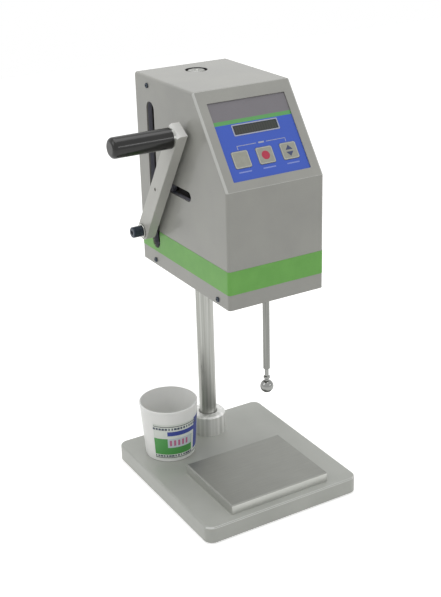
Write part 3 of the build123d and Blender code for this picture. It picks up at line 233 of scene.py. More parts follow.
def drawn_bar(name, low, high, roughness, reflection_band_width):
    """Centreless-ground bar under a satin mirror, with soft painted reflection bands along its
    length.
    """
    material, tree, place = begin(name, high)
    drawn = add(tree, "ShaderNodeMapping", {"Vector": place, "Scale": (1.0, 1.0, 0.01)})
    # Painted reflection: soft bands along the length stand in for the studio mirrored round the
    # bar; they also vary its roughness.
    reflection_bands = add(
        tree, "ShaderNodeTexNoise", {"Vector": drawn, "Scale": 1 / reflection_band_width, "Detail": 2.0}
    )
    level = add(tree, "ShaderNodeMapRange", {"Value": reflection_bands, "From Min": 0.35, "From Max": 0.65})
    tone = add(
        tree, "ShaderNodeMix", {"Factor": level, "A": srgb(low), "B": srgb(high)}, data_type="RGBA"
    )
    rough = add(
        tree, "ShaderNodeMapRange",
        {"Value": reflection_bands, "To Min": roughness - 0.04, "To Max": roughness + 0.08},
    )
    shader = add(tree, "ShaderNodeBsdfPrincipled", {
        "Base Color": tone, "Roughness": rough, "Metallic": 1.0,
    })
    add(tree, "ShaderNodeOutputMaterial", {"Surface": shader})
    return material


def turned_steel(name, low, high, roughness, stretch):
    """Steel off the lathe: fine rings round its axis, the stretch being small round the rings."""
    ring_width, ring_depth = 0.5, 0.008   # rings drawn wider than the tool's feed, to show
    material, tree, place = begin(name, high)
    drawn = add(tree, "ShaderNodeMapping", {"Vector": place, "Scale": stretch})
    rings = add(
        tree, "ShaderNodeTexNoise", {"Vector": drawn, "Scale": 1 / ring_width, "Detail": 2.0}
    )
    tone = add(
        tree, "ShaderNodeMix", {"Factor": rings, "A": srgb(low), "B": srgb(high)}, data_type="RGBA"
    )
    rough = add(
        tree, "ShaderNodeMapRange",
        {"Value": rings, "To Min": roughness - 0.05, "To Max": roughness + 0.08},
    )
    relief = add(
        tree, "ShaderNodeBump", {"Height": rings, "Strength": 0.4, "Distance": ring_depth * MM}
    )
    shader = add(tree, "ShaderNodeBsdfPrincipled", {
        "Base Color": tone, "Roughness": rough, "Metallic": 1.0, "Normal": relief,
    })
    add(tree, "ShaderNodeOutputMaterial", {"Surface": shader})
    return material


def burnished_stainless():
    """Ball-burnished stainless steel: almost a mirror, with a trace of fine swirl."""
    swirl_size = 2.0
    material, tree, place = begin("burnished_stainless", "#8F908E")
    swirl = add(
        tree, "ShaderNodeTexNoise", {"Vector": place, "Scale": 1 / swirl_size, "Detail": 3.0}
    )
    rough = add(tree, "ShaderNodeMapRange", {"Value": swirl, "To Min": 0.05, "To Max": 0.14})
    shader = add(tree, "ShaderNodeBsdfPrincipled", {
        "Base Color": srgb("#8F908E"), "Roughness": rough, "Metallic": 1.0,
    })
    add(tree, "ShaderNodeOutputMaterial", {"Surface": shader})
    return material


def black_oxide_steel():
    """Blackened steel: blue-black and satin, lighter where it is handled."""
    patch_size = 2.5
    material, tree, place = begin("black_oxide_steel", "#343C46")
    patches = add(
        tree, "ShaderNodeTexNoise", {"Vector": place, "Scale": 1 / patch_size, "Detail": 3.0}
    )
    tone = add(
        tree, "ShaderNodeMix", {"Factor": patches, "A": srgb("#2A3038"), "B": srgb("#46505C")},
        data_type="RGBA",
    )
    rough = add(tree, "ShaderNodeMapRange", {"Value": patches, "To Min": 0.3, "To Max": 0.48})
    shader = add(tree, "ShaderNodeBsdfPrincipled", {
        "Base Color": tone, "Roughness": rough, "Metallic": 0.6,
    })
    add(tree, "ShaderNodeOutputMaterial", {"Surface": shader})
    return material


def zinc_plated_steel():
    """Zinc-plated fasteners: pale and slightly mottled."""
    spangle_size = 3.0
    material, tree, place = begin("zinc_plated_steel", "#A9ABAA")
    spangle = add(
        tree, "ShaderNodeTexNoise", {"Vector": place, "Scale": 1 / spangle_size, "Detail": 3.0}
    )
    tone = add(
        tree, "ShaderNodeMix", {"Factor": spangle, "A": srgb("#909291"), "B": srgb("#BEC0BF")},
        data_type="RGBA",
    )
    shader = add(tree, "ShaderNodeBsdfPrincipled", {
        "Base Color": tone, "Roughness": 0.34, "Metallic": 1.0,
    })
    add(tree, "ShaderNodeOutputMaterial", {"Surface": shader})
    return material


def milled_aluminium():
    """Milled aluminium: bright, with soft lines from the cutter."""
    line_width, line_depth = 1.0, 0.01   # lines drawn wider than real ones, to show
    material, tree, place = begin("milled_aluminium", "#B4B5B5")
    drawn = add(tree, "ShaderNodeMapping", {"Vector": place, "Scale": (1.0, 0.03, 1.0)})
    lines = add(
        tree, "ShaderNodeTexNoise", {"Vector": drawn, "Scale": 1 / line_width, "Detail": 2.0}
    )
    tone = add(
        tree, "ShaderNodeMix", {"Factor": lines, "A": srgb("#9EA0A0"), "B": srgb("#C4C5C5")},
        data_type="RGBA",
    )
    relief = add(
        tree, "ShaderNodeBump", {"Height": lines, "Strength": 0.4, "Distance": line_depth * MM}
    )
    shader = add(tree, "ShaderNodeBsdfPrincipled", {
        "Base Color": tone, "Roughness": 0.36, "Metallic": 1.0, "Normal": relief,
    })
    add(tree, "ShaderNodeOutputMaterial", {"Surface": shader})
    return material


def sintered_bronze():
    """Oil-soaked bearing bronze: matt and porous."""
    pore_size, pore_depth = 0.5, 0.02   # pores drawn larger than real ones, to show
    material, tree, place = begin("sintered_bronze", "#A5763F")
    pores = add(
        tree, "ShaderNodeTexNoise", {"Vector": place, "Scale": 1 / pore_size, "Detail": 4.0}
    )
    tone = add(
        tree, "ShaderNodeMix", {"Factor": pores, "A": srgb("#7E572E"), "B": srgb("#C08F50")},
        data_type="RGBA",
    )
    relief = add(
        tree, "ShaderNodeBump", {"Height": pores, "Strength": 0.4, "Distance": pore_depth * MM}
    )
    shader = add(tree, "ShaderNodeBsdfPrincipled", {
        "Base Color": tone, "Roughness": 0.5, "Metallic": 1.0, "Normal": relief,
    })
    add(tree, "ShaderNodeOutputMaterial", {"Surface": shader})
    return material


# Plastics, film, rubber and board

def calendered_vinyl():
    """Self-adhesive vinyl in green: flat colour, low sheen, a faint calender grain."""
    cloud_size, grain_size, grain_depth = 18.0, 1.4, 0.006   # grain drawn coarse, to show
    material, tree, place = begin("calendered_green_vinyl", "#61A048")
    cloud = add(
        tree, "ShaderNodeTexNoise", {"Vector": place, "Scale": 1 / cloud_size, "Detail": 4.0}
    )
    tone = add(
        tree, "ShaderNodeMix", {"Factor": cloud, "A": srgb("#5F9F44"), "B": srgb("#73B454")},
        data_type="RGBA",
    )
    grain = add(
        tree, "ShaderNodeTexNoise", {"Vector": place, "Scale": 1 / grain_size, "Detail": 2.0}
    )
    relief = add(
        tree, "ShaderNodeBump", {"Height": grain, "Strength": 0.5, "Distance": grain_depth * MM}
    )
    shader = add(tree, "ShaderNodeBsdfPrincipled", {
        "Base Color": tone, "Roughness": 0.4, "IOR": 1.46, "Normal": relief,
    })
    add(tree, "ShaderNodeOutputMaterial", {"Surface": shader})
    return material


def moulded_phenolic():
    """Black phenolic moulded and buffed: a deep gloss with faint streaks along the grip."""
    streak_size = 2.0
    material, tree, place = begin("moulded_black_phenolic", "#12120E")
    drawn = add(tree, "ShaderNodeMapping", {"Vector": place, "Scale": (0.05, 1.0, 1.0)})
    streaks = add(
        tree, "ShaderNodeTexNoise", {"Vector": drawn, "Scale": 1 / streak_size, "Detail": 3.0}
    )
    tone = add(
        tree, "ShaderNodeMix", {"Factor": streaks, "A": srgb("#080806"), "B": srgb("#12120F")},
        data_type="RGBA",
    )
    rough = add(tree, "ShaderNodeMapRange", {"Value": streaks, "To Min": 0.1, "To Max": 0.26})
    shader = add(tree, "ShaderNodeBsdfPrincipled", {
        "Base Color": tone, "Roughness": rough, "IOR": 1.5,
    })
    add(tree, "ShaderNodeOutputMaterial", {"Surface": shader})
    return material


def moulded_abs():
    """Black ABS from a spark-eroded mould: matt, with a fine pebble."""
    pebble_size, pebble_depth = 0.6, 0.02   # pebble drawn coarser than real, to show
    material, tree, place = begin("moulded_black_abs", "#18181A")
    pebble = add(
        tree, "ShaderNodeTexNoise", {"Vector": place, "Scale": 1 / pebble_size, "Detail": 3.0}
    )
    tone = add(
        tree, "ShaderNodeMix", {"Factor": pebble, "A": srgb("#121214"), "B": srgb("#222226")},
        data_type="RGBA",
    )
    relief = add(
        tree, "ShaderNodeBump", {"Height": pebble, "Strength": 0.5, "Distance": pebble_depth * MM}
    )
    shader = add(tree, "ShaderNodeBsdfPrincipled", {
        "Base Color": tone, "Roughness": 0.5, "IOR": 1.52, "Normal": relief,
    })
    add(tree, "ShaderNodeOutputMaterial", {"Surface": shader})
    return material


def nitrile_rubber():
    """Black nitrile sheet: dull, with a fine crepe."""
    crepe_size, crepe_depth = 0.8, 0.04   # crepe drawn coarser than real, to show
    material, tree, place = begin("nitrile_rubber_sheet", "#1B1B1B")
    crepe = add(
        tree, "ShaderNodeTexNoise", {"Vector": place, "Scale": 1 / crepe_size, "Detail": 4.0}
    )
    tone = add(
        tree, "ShaderNodeMix", {"Factor": crepe, "A": srgb("#141414"), "B": srgb("#262626")},
        data_type="RGBA",
    )
    relief = add(
        tree, "ShaderNodeBump", {"Height": crepe, "Strength": 0.5, "Distance": crepe_depth * MM}
    )
    shader = add(tree, "ShaderNodeBsdfPrincipled", {
        "Base Color": tone, "Roughness": 0.75, "IOR": 1.52, "Normal": relief,
    })
    add(tree, "ShaderNodeOutputMaterial", {"Surface": shader})
    return material


def embossed_polyester():
    """Embossed polyester keys: warm grey, satin, with a velvet grain."""
    cloud_size, grain_size, grain_depth = 6.0, 0.35, 0.006   # grain drawn coarse enough to show
    material, tree, place = begin("embossed_key_polyester", "#97988C")
    cloud = add(
        tree, "ShaderNodeTexNoise", {"Vector": place, "Scale": 1 / cloud_size, "Detail": 3.0}
    )
    tone = add(
        tree, "ShaderNodeMix", {"Factor": cloud, "A": srgb("#8D8E83"), "B": srgb("#A0A195")},
        data_type="RGBA",
    )
    grain = add(
        tree, "ShaderNodeTexNoise", {"Vector": place, "Scale": 1 / grain_size, "Detail": 2.0}
    )
    relief = add(
        tree, "ShaderNodeBump", {"Height": grain, "Strength": 0.5, "Distance": grain_depth * MM}
    )
    shader = add(tree, "ShaderNodeBsdfPrincipled", {
        "Base Color": tone, "Roughness": 0.42, "IOR": 1.57, "Normal": relief,
    })
    add(tree, "ShaderNodeOutputMaterial", {"Surface": shader})
    return material


def screen_ink(name, low, high):
    """Screen-printed ink on film: opaque, a little uneven where the mesh left it thin."""
    mottle_size = 1.5
    material, tree, place = begin(name, high)
    mottle = add(
        tree, "ShaderNodeTexNoise", {"Vector": place, "Scale": 1 / mottle_size, "Detail": 3.0}
    )
    tone = add(
        tree, "ShaderNodeMix", {"Factor": mottle, "A": srgb(low), "B": srgb(high)}, data_type="RGBA"
    )
    shader = add(tree, "ShaderNodeBsdfPrincipled", {
        "Base Color": tone, "Roughness": 0.42, "IOR": 1.5,
    })
    add(tree, "ShaderNodeOutputMaterial", {"Surface": shader})
    return material


def display_acrylic():
    """Cast acrylic over a dark display: near black, brown to the left and green to the right."""
    material, tree, place = begin("cast_display_acrylic", "#2E312C")
    low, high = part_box("display_window")
    across = add(tree, "ShaderNodeSeparateXYZ", {"Vector": place}).outputs["X"]
    level = add(tree, "ShaderNodeMapRange", {
        "Value": across, "From Min": low.x * PER_METRE, "From Max": high.x * PER_METRE,
    })
    tone = add(
        tree, "ShaderNodeMix", {"Factor": level, "A": srgb("#2B2826"), "B": srgb("#232E2A")},
        data_type="RGBA",
    )
    shader = add(tree, "ShaderNodeBsdfPrincipled", {
        "Base Color": tone, "Roughness": 0.34, "IOR": 1.49,
    })
    add(tree, "ShaderNodeOutputMaterial", {"Surface": shader})
    return material


def solder_masked_board():
    """Solder-masked glass-epoxy: deep green gloss over a woven core."""
    weave_size = 1.2   # real cloth is finer; drawn coarse enough to show
    material, tree, place = begin("solder_masked_epoxy", "#1D5A32")
    weave = add(
        tree, "ShaderNodeTexNoise", {"Vector": place, "Scale": 1 / weave_size, "Detail": 1.0}
    )
    tone = add(
        tree, "ShaderNodeMix", {"Factor": weave, "A": srgb("#164526"), "B": srgb("#267142")},
        data_type="RGBA",
    )
    shader = add(tree, "ShaderNodeBsdfPrincipled", {
        "Base Color": tone, "Roughness": 0.25, "IOR": 1.55,
    })
    add(tree, "ShaderNodeOutputMaterial", {"Surface": shader})
    return material


def blown_polypropylene():
    """Blow-moulded natural polypropylene: milky, lets light through, with a soft waxy gloss."""
    cloud_size, wave_size, wave_depth = 25.0, 7.0, 0.03
    material, tree, place = begin("blown_polypropylene", "#F6F7F4")
    cloud = add(
        tree, "ShaderNodeTexNoise", {"Vector": place, "Scale": 1 / cloud_size, "Detail": 3.0}
    )
    tone = add(
        tree, "ShaderNodeMix", {"Factor": cloud, "A": srgb("#EEEFEC"), "B": srgb("#F8F8F6")},
        data_type="RGBA",
    )
    wave = add(tree, "ShaderNodeTexNoise", {"Vector": place, "Scale": 1 / wave_size, "Detail": 2.0})
    relief = add(
        tree, "ShaderNodeBump", {"Height": wave, "Strength": 0.3, "Distance": wave_depth * MM}
    )
    shader = add(tree, "ShaderNodeBsdfPrincipled", {
        "Base Color": tone, "Roughness": 0.34, "IOR": 1.49, "Normal": relief,
        "Subsurface Weight": 0.15, "Subsurface Scale": 1.5 * MM, "Transmission Weight": 0.05,
        "Subsurface Radius": (1.0, 1.0, 1.0),
    })
    add(tree, "ShaderNodeOutputMaterial", {"Surface": shader})
    return material


# The panel's film

def printed_polyester():
    """Polyester overlay printed from behind: grey strip, green line and blue field, satin."""
    cloud_size, grain_size, grain_depth = 30.0, 0.4, 0.005
    material, tree, place = begin("printed_polyester", "#2F55BC")
    own = add(tree, "ShaderNodeTexCoord").outputs["Object"]
    up = add(tree, "ShaderNodeVectorMath", {0: own, 1: slope_up}, operation="DOT_PRODUCT")
    look = srgb("#2F55BC")
    strip_foot = panel_top - strip_height
    for start, colour in ((strip_foot - line_height, "#589D57"), (strip_foot, "#757277")):
        above = add(tree, "ShaderNodeMath", {0: up, 1: start}, operation="GREATER_THAN")
        look = add(
            tree, "ShaderNodeMix", {"Factor": above, "A": look, "B": srgb(colour)}, data_type="RGBA"
        )
    cloud = add(
        tree, "ShaderNodeTexNoise", {"Vector": place, "Scale": 1 / cloud_size, "Detail": 3.0}
    )
    level = add(tree, "ShaderNodeMapRange", {"Value": cloud, "To Min": 0.94, "To Max": 1.06})
    tone = add(tree, "ShaderNodeHueSaturation", {"Color": look, "Value": level})
    grain = add(
        tree, "ShaderNodeTexNoise", {"Vector": place, "Scale": 1 / grain_size, "Detail": 2.0}
    )
    relief = add(
        tree, "ShaderNodeBump", {"Height": grain, "Strength": 0.5, "Distance": grain_depth * MM}
    )
    shader = add(tree, "ShaderNodeBsdfPrincipled", {
        "Base Color": tone, "Roughness": 0.36, "IOR": 1.57, "Normal": relief,
    })
    add(tree, "ShaderNodeOutputMaterial", {"Surface": shader})
    return material


# The cup's label, set out round its axis: angles in degrees from +X, heights as shares of it

label_low, label_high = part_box("cup_label")
cup_low, cup_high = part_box("sample_cup")
cup_axis = (cup_low + cup_high) / 2


def label_radius(height):
    """The label's outer radius at the ring of corners nearest to this height."""
    spots = [v.co - cup_axis for v in nodes["cup_label"].data.vertices]
    rise = height - cup_axis.z
    near = min(abs(p.z - rise) for p in spots) + MM
    return max(math.hypot(p.x, p.y) for p in spots if abs(p.z - rise) <= near)


foot_radius = label_radius(label_low.z)
radius_rise = (label_radius(label_high.z) - foot_radius) / (label_high.z - label_low.z)

# Each patch is its first and last angle, then its lowest and highest share of the label's height
label_rules = (-180, 180, 0.930, 0.952), (-180, 180, 0.038, 0.060)
green_panel = (-152, -65, 0.14, 0.60)
pale_patch = (-122, -66, 0.34, 0.60)
blue_band = (-122, -28, 0.68, 0.80)
blue_upright = (-58, -30, 0.12, 1.00)
pink_starts = range(-118, -74, 9)
pink_width = 5
pink_bars = tuple((start, start + pink_width, 0.39, 0.55) for start in pink_starts)


def coated_paper():
    """Coated paper label with a plain design: blue band and upright, green panel, pink bars."""
    fibre_size = 8.0
    material, tree, place = begin("coated_label_paper", "#DDE3DC")
    centred = add(tree, "ShaderNodeMapping", {
        "Vector": place, "Location": (-cup_axis.x * PER_METRE, -cup_axis.y * PER_METRE, 0.0),
    })
    spot = add(tree, "ShaderNodeSeparateXYZ", {"Vector": centred})
    turn = add(
        tree, "ShaderNodeMath", {0: spot.outputs["Y"], 1: spot.outputs["X"]}, operation="ARCTAN2"
    )
    degrees = add(tree, "ShaderNodeMath", {0: turn, 1: 180 / math.pi}, operation="MULTIPLY")
    height = add(tree, "ShaderNodeMapRange", {
        "Value": spot.outputs["Z"],
        "From Min": label_low.z * PER_METRE, "From Max": label_high.z * PER_METRE,
    })
    fibre = add(
        tree, "ShaderNodeTexNoise", {"Vector": place, "Scale": 1 / fibre_size, "Detail": 4.0}
    )
    look = add(
        tree, "ShaderNodeMix", {"Factor": fibre, "A": srgb("#D3D9D2"), "B": srgb("#E8ECE6")},
        data_type="RGBA",
    )
    blue = "#3A4A9C"
    patches = [
        (green_panel, "#4C9A4C"), (pale_patch, "#C6D0D6"), (blue_band, blue), (blue_upright, blue),
    ]
    patches += [(bar, "#BE6F92") for bar in pink_bars]
    patches += [(rule, "#5A5F5C") for rule in label_rules]
    for (turn_from, turn_to, up_from, up_to), colour in patches:
        across = add(tree, "ShaderNodeMath", {
            0: degrees, 1: (turn_from + turn_to) / 2, 2: (turn_to - turn_from) / 2,
        }, operation="COMPARE")
        along = add(tree, "ShaderNodeMath", {
            0: height, 1: (up_from + up_to) / 2, 2: (up_to - up_from) / 2,
        }, operation="COMPARE")
        both = add(tree, "ShaderNodeMath", {0: across, 1: along}, operation="MULTIPLY")
        look = add(
            tree, "ShaderNodeMix", {"Factor": both, "A": look, "B": srgb(colour)}, data_type="RGBA"
        )
    shader = add(tree, "ShaderNodeBsdfPrincipled", {
        "Base Color": look, "Roughness": 0.45, "IOR": 1.5,
    })
    add(tree, "ShaderNodeOutputMaterial", {"Surface": shader})
    return material


# What repeats: the display's cells and the label's small bars, grown by trees

def open_tree(name, sizes):
    """A geometry tree with a named input for each size, and its group input node."""
    tree = bpy.data.node_groups.new(name, "GeometryNodeTree")
    for label, value in sizes.items():
        kind = "NodeSocketInt" if isinstance(value, int) else "NodeSocketFloat"
        tree.interface.new_socket(name=label, in_out="INPUT", socket_type=kind)
    tree.interface.new_socket(name="Geometry", in_out="OUTPUT", socket_type="NodeSocketGeometry")
    return tree, add(tree, "NodeGroupInput").outputs


def close_tree(tree, instances, material):
    """The end of each tree: its instances made real and given their material."""
    solid = add(tree, "GeometryNodeRealizeInstances", {"Geometry": instances})
    inked = add(tree, "GeometryNodeSetMaterial", {"Geometry": solid, "Material": material})
    add(tree, "NodeGroupOutput", {"Geometry": inked})


def grown(name, tree, sizes):
    """The plain object that a tree makes with these sizes."""
    seed = bpy.data.objects.new(name, bpy.data.meshes.new(name + "_seed"))
    bpy.context.scene.collection.objects.link(seed)
    modifier = seed.modifiers.new("grow", "NODES")
    modifier.node_group = tree
    for item in tree.interface.items_tree:
        if item.name in sizes:
            modifier[item.identifier] = sizes[item.name]
    made = seed.evaluated_get(bpy.context.evaluated_depsgraph_get())
    mesh = bpy.data.meshes.new_from_object(made)
    seed.modifiers.remove(modifier)
    seed.data = mesh
    mesh.name = name
    return seed


def display_cells(material):
    """Two rows of faint character places on the window."""
    low, high = slope_span("display_window")
    margin = 3.2 * MM   # from the window's side to the middle of the first place
    row_share = 0.42    # from row to row, as a share of the window's height
    sizes = {
        "Columns": 16, "Rows": 2, "Across": high[0] - low[0] - 2 * margin,
        "Up": row_share * (high[1] - low[1]),
        "Cell Width": 2.2 * MM, "Cell Height": 4.2 * MM, "Cell Depth": ink,
    }
    tree, size = open_tree("display_cells", sizes)
    grid = add(tree, "GeometryNodeMeshGrid", {
        "Size X": size["Across"], "Size Y": size["Up"],
        "Vertices X": size["Columns"], "Vertices Y": size["Rows"],
    })
    block = add(tree, "ShaderNodeCombineXYZ", {
        "X": size["Cell Width"], "Y": size["Cell Height"], "Z": size["Cell Depth"],
    })
    cell = add(tree, "GeometryNodeMeshCube", {"Size": block})
    cells = add(tree, "GeometryNodeInstanceOnPoints", {
        "Points": grid, "Instance": cell.outputs["Mesh"],
    })
    close_tree(tree, cells, material)
    piece = grown("display_cells", tree, sizes)
    turn = Matrix((
        (1, slope_up.x, slope_out.x), (0, slope_up.y, slope_out.y), (0, slope_up.z, slope_out.z),
    )).to_4x4()
    centre = on_slope((low[0] + high[0]) / 2, (low[1] + high[1]) / 2, high[2])
    piece.data.transform(Matrix.Translation(centre) @ turn)
    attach(piece, "head")


def label_bars(name, material, start, stop, low_share, bar_height, seed):
    """A row of short plain bars round the label, where a real one has small print."""
    above_foot = low_share * (label_high.z - label_low.z)
    step = 6.4   # degrees from bar to bar
    sizes = {
        "Bars": int((stop - start) / step), "Radius": foot_radius + above_foot * radius_rise,
        "Start": math.radians(start), "Step": math.radians(step),
        "Height": label_low.z + above_foot, "Bar Length": 3.4 * MM, "Bar Height": bar_height,
        "Bar Depth": 6 * ink, "Seed": seed,
    }
    tree, size = open_tree(name, sizes)
    index = add(tree, "GeometryNodeInputIndex")
    angle = add(
        tree, "ShaderNodeMath", {0: index, 1: size["Step"], 2: size["Start"]},
        operation="MULTIPLY_ADD",
    )
    cosine = add(tree, "ShaderNodeMath", {0: angle}, operation="COSINE")
    sine = add(tree, "ShaderNodeMath", {0: angle}, operation="SINE")
    spot = add(tree, "ShaderNodeCombineXYZ", {
        "X": add(tree, "ShaderNodeMath", {0: cosine, 1: size["Radius"]}, operation="MULTIPLY"),
        "Y": add(tree, "ShaderNodeMath", {0: sine, 1: size["Radius"]}, operation="MULTIPLY"),
        "Z": size["Height"],
    })
    points = add(tree, "GeometryNodePoints", {"Count": size["Bars"], "Position": spot})
    block = add(tree, "ShaderNodeCombineXYZ", {
        "X": size["Bar Depth"], "Y": size["Bar Length"], "Z": size["Bar Height"],
    })
    bar = add(tree, "GeometryNodeMeshCube", {"Size": block})
    facing = add(tree, "FunctionNodeEulerToRotation", {
        "Euler": add(tree, "ShaderNodeCombineXYZ", {"Z": angle}),
    })
    share = add(tree, "FunctionNodeRandomValue", {"Min": 0.35, "Max": 1.0, "Seed": size["Seed"]},
                data_type="FLOAT")
    stretch = add(tree, "ShaderNodeCombineXYZ", {"X": 1.0, "Y": share, "Z": 1.0})
    bars = add(tree, "GeometryNodeInstanceOnPoints", {
        "Points": points, "Instance": bar.outputs["Mesh"], "Rotation": facing, "Scale": stretch,
    })
    close_tree(tree, bars, material)
    piece = grown(name, tree, sizes)
    piece.data.transform(Matrix.Translation((cup_axis.x, cup_axis.y, 0)))
    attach(piece, "cup")


# Prints on the panel and the keys

def print_rings(mesh, outline, out):
    """An outline's corners twice: under the film's face, then above it."""
    levels = (out - ink, out + ink)
    return [[mesh.verts.new(on_slope(x, up, level)) for x, up in outline] for level in levels]


def plate_piece(name, outlines, out, body, material):
    """Flat prints on the slope, each an outline of (across, up) in metres and a hole or None."""
    mesh = bmesh.new()
    for outer, inner in outlines:
        rings = print_rings(mesh, outer, out)
        count = len(outer)
        for n in range(count):
            m = (n + 1) % count
            mesh.faces.new((rings[0][n], rings[0][m], rings[1][m], rings[1][n]))
        if inner:
            holes = print_rings(mesh, inner, out)
            for n in range(count):
                m = (n + 1) % count
                mesh.faces.new((holes[0][m], holes[0][n], holes[1][n], holes[1][m]))
                mesh.faces.new((rings[1][n], rings[1][m], holes[1][m], holes[1][n]))
                mesh.faces.new((rings[0][m], rings[0][n], holes[0][n], holes[0][m]))
        else:
            mesh.faces.new(rings[1])
            mesh.faces.new(list(reversed(rings[0])))
    bmesh.ops.recalc_face_normals(mesh, faces=mesh.faces)
    data = bpy.data.meshes.new(name)
    mesh.to_mesh(data)
    mesh.free()
    piece = bpy.data.objects.new(name, data)
    bpy.context.scene.collection.objects.link(piece)
    data.materials.append(material)
    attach(piece, body)


def rounded_outline(x, up, width, height, corner, steps=6):
    """A rounded rectangle round its middle, with so many steps to each corner."""
    points = []
    for quarter, (sx, sy) in enumerate(((1, 1), (-1, 1), (-1, -1), (1, -1))):
        for step in range(steps + 1):
            angle = math.pi / 2 * (quarter + step / steps)
            points.append((
                x + sx * (width / 2 - corner) + corner * math.cos(angle),
                up + sy * (height / 2 - corner) + corner * math.sin(angle),
            ))
    return points


def circle_outline(x, up, radius, steps=48):
    """A circle round its middle."""
    turns = [2 * math.pi * n / steps for n in range(steps)]
    return [(x + radius * math.cos(turn), up + radius * math.sin(turn)) for turn in turns]


def bar_outline(x0, x1, up0, up1):
    """A plain bar between two places across and two up the slope."""
    return [(x0, up0), (x1, up0), (x1, up1), (x0, up1)]


def key_spot(node):
    """The middle of a key across and up the slope, and how far out its face is."""
    low, high = slope_span(node)
    return (low[0] + high[0]) / 2, (low[1] + high[1]) / 2, high[2]


def key_prints(cream, red, navy):
    """A pale border on each key, a red disc on the middle one and two arrows on the right one."""
    border_width, border_height, border_line = 19.6 * MM, 18.4 * MM, 0.8 * MM
    outer_corner, inner_corner = 1.9 * MM, 1.3 * MM
    disc_radius = 5.0 * MM
    arrow_half, arrow_base, arrow_tall = 4.6 * MM, 1.1 * MM, 5.4 * MM
    for node in ("key_left", "key_centre", "key_right"):
        x, up, out = key_spot(node)
        outer = rounded_outline(x, up, border_width, border_height, outer_corner)
        inner = rounded_outline(
            x, up, border_width - 2 * border_line, border_height - 2 * border_line, inner_corner
        )
        plate_piece(node + "_border", [(outer, inner)], out, node, cream)
    x, up, out = key_spot("key_centre")
    plate_piece("stop_disc", [(circle_outline(x, up, disc_radius), None)], out, "key_centre", red)
    x, up, out = key_spot("key_right")
    arrows = []
    for way in (1, -1):
        base = up + way * arrow_base
        tip = base + way * arrow_tall
        arrows.append(([(x - arrow_half, base), (x + arrow_half, base), (x, tip)], None))
    plate_piece("speed_arrows", arrows, out, "key_right", navy)


def panel_prints(light, faint):
    """A fine line that joins the outer keys over the middle one, and a plain bar under each key."""
    left, up, _ = key_spot("key_left")
    right, _, _ = key_spot("key_right")
    top = up + 15.4 * MM    # of the line, above the keys' middle
    foot = up + 11.2 * MM
    gap = 6.2 * MM          # either side of the mark in its middle
    half = print_line / 2
    mark_half, mark_tall = 3.6 * MM, 0.9 * MM
    name_half, name_low, name_high = 8.0 * MM, 14.8 * MM, 13.4 * MM
    bars = [
        bar_outline(left, -gap, top - half, top + half),
        bar_outline(gap, right, top - half, top + half),
        bar_outline(left - half, left + half, foot, top + half),
        bar_outline(right - half, right + half, foot, top + half),
        bar_outline(-mark_half, mark_half, top - mark_tall, top + mark_tall),
    ]
    plate_piece("panel_lines", [(bar, None) for bar in bars], face_out, "head", light)
    names = [
        (bar_outline(x - name_half, x + name_half, up - name_low, up - name_high), None)
        for x in (left, 0.0, right)
    ]
    plate_piece("key_name_bars", names, face_out, "head", faint)


# Finishes on the carried nodes

def dress(material, *names):
    """One material on each of these nodes."""
    for name in names:
        node = nodes[name]
        node.data.materials.clear()
        node.data.materials.append(material)


def dress_metalwork():
    """Painted, plated, turned and milled parts."""
    # The last colour of each paint is its painted highlight on the forward bends.
    head_paint = powder_coat("grey_powder_coat", "#959590", "#9C9C96", "#BDBEBA")
    lever_paint = powder_coat("grey_powder_coat_lever", "#B0B0AA", "#B8B8B2", "#D8D8D5")
    base_paint = powder_coat("grey_powder_coat_base", "#A8AAA4", "#B0B2AC", "#D6D7D4")
    across, upright = (1.0, 0.02, 0.02), (0.02, 0.02, 1.0)   # rings round X, rings round Z
    dress(head_paint, "head_cover", "head_floor", "rear_panel")
    dress(lever_paint, "lever_arm")
    dress(base_paint, "base_plate")
    dress(anodised_aluminium(), "left_frame_plate", "right_frame_plate")
    dress(ground_tool_steel(), "work_plate")
    # Column, collar and shafts carry painted reflection bands between these two tones.
    dress(drawn_bar("satin_chrome_bar", "#8C8D88", "#B8B9B5", 0.34, 3.6), "column")
    dress(drawn_bar("satin_stainless_collar", "#D2D3D0", "#EDEDEB", 0.5, 4.5), "column_collar")
    dress(drawn_bar("drawn_stainless_shaft", "#777875", "#8D8E8B", 0.26, 1.0),
          "drive_shaft", "motor_shaft")
    dress(burnished_stainless(), "spindle_tip")
    dress(turned_steel("turned_bearing_steel", "#9A9B97", "#B4B5B1", 0.26, upright),
          "spindle_bearings")
    dress(turned_steel("turned_lever_steel", "#9A9B97", "#C4C5C1", 0.22, across),
          "pivot_shaft", "pivot_washer", "grip_rod", "grip_washer", "follower_stud")
    dress(turned_steel("turned_roller_steel", "#9A9BA4", "#B0B1BA", 0.5, across), "follower_roller")
    dress(sintered_bronze(), "lower_bush", "upper_bush", "lever_bush")
    dress(black_oxide_steel(), "pivot_knob", "cover_screws", "clamp_bolts", "collar_grub_screw")
    dress(zinc_plated_steel(), "base_screws", "column_bolt", "floor_screws", "rear_screws",
          "motor_pillars")
    dress(milled_aluminium(), "pivot_clamp", "lower_block", "upper_block", "front_block",
          "bearing_housing", "shaft_coupling", "motor_plate", "power_supply")


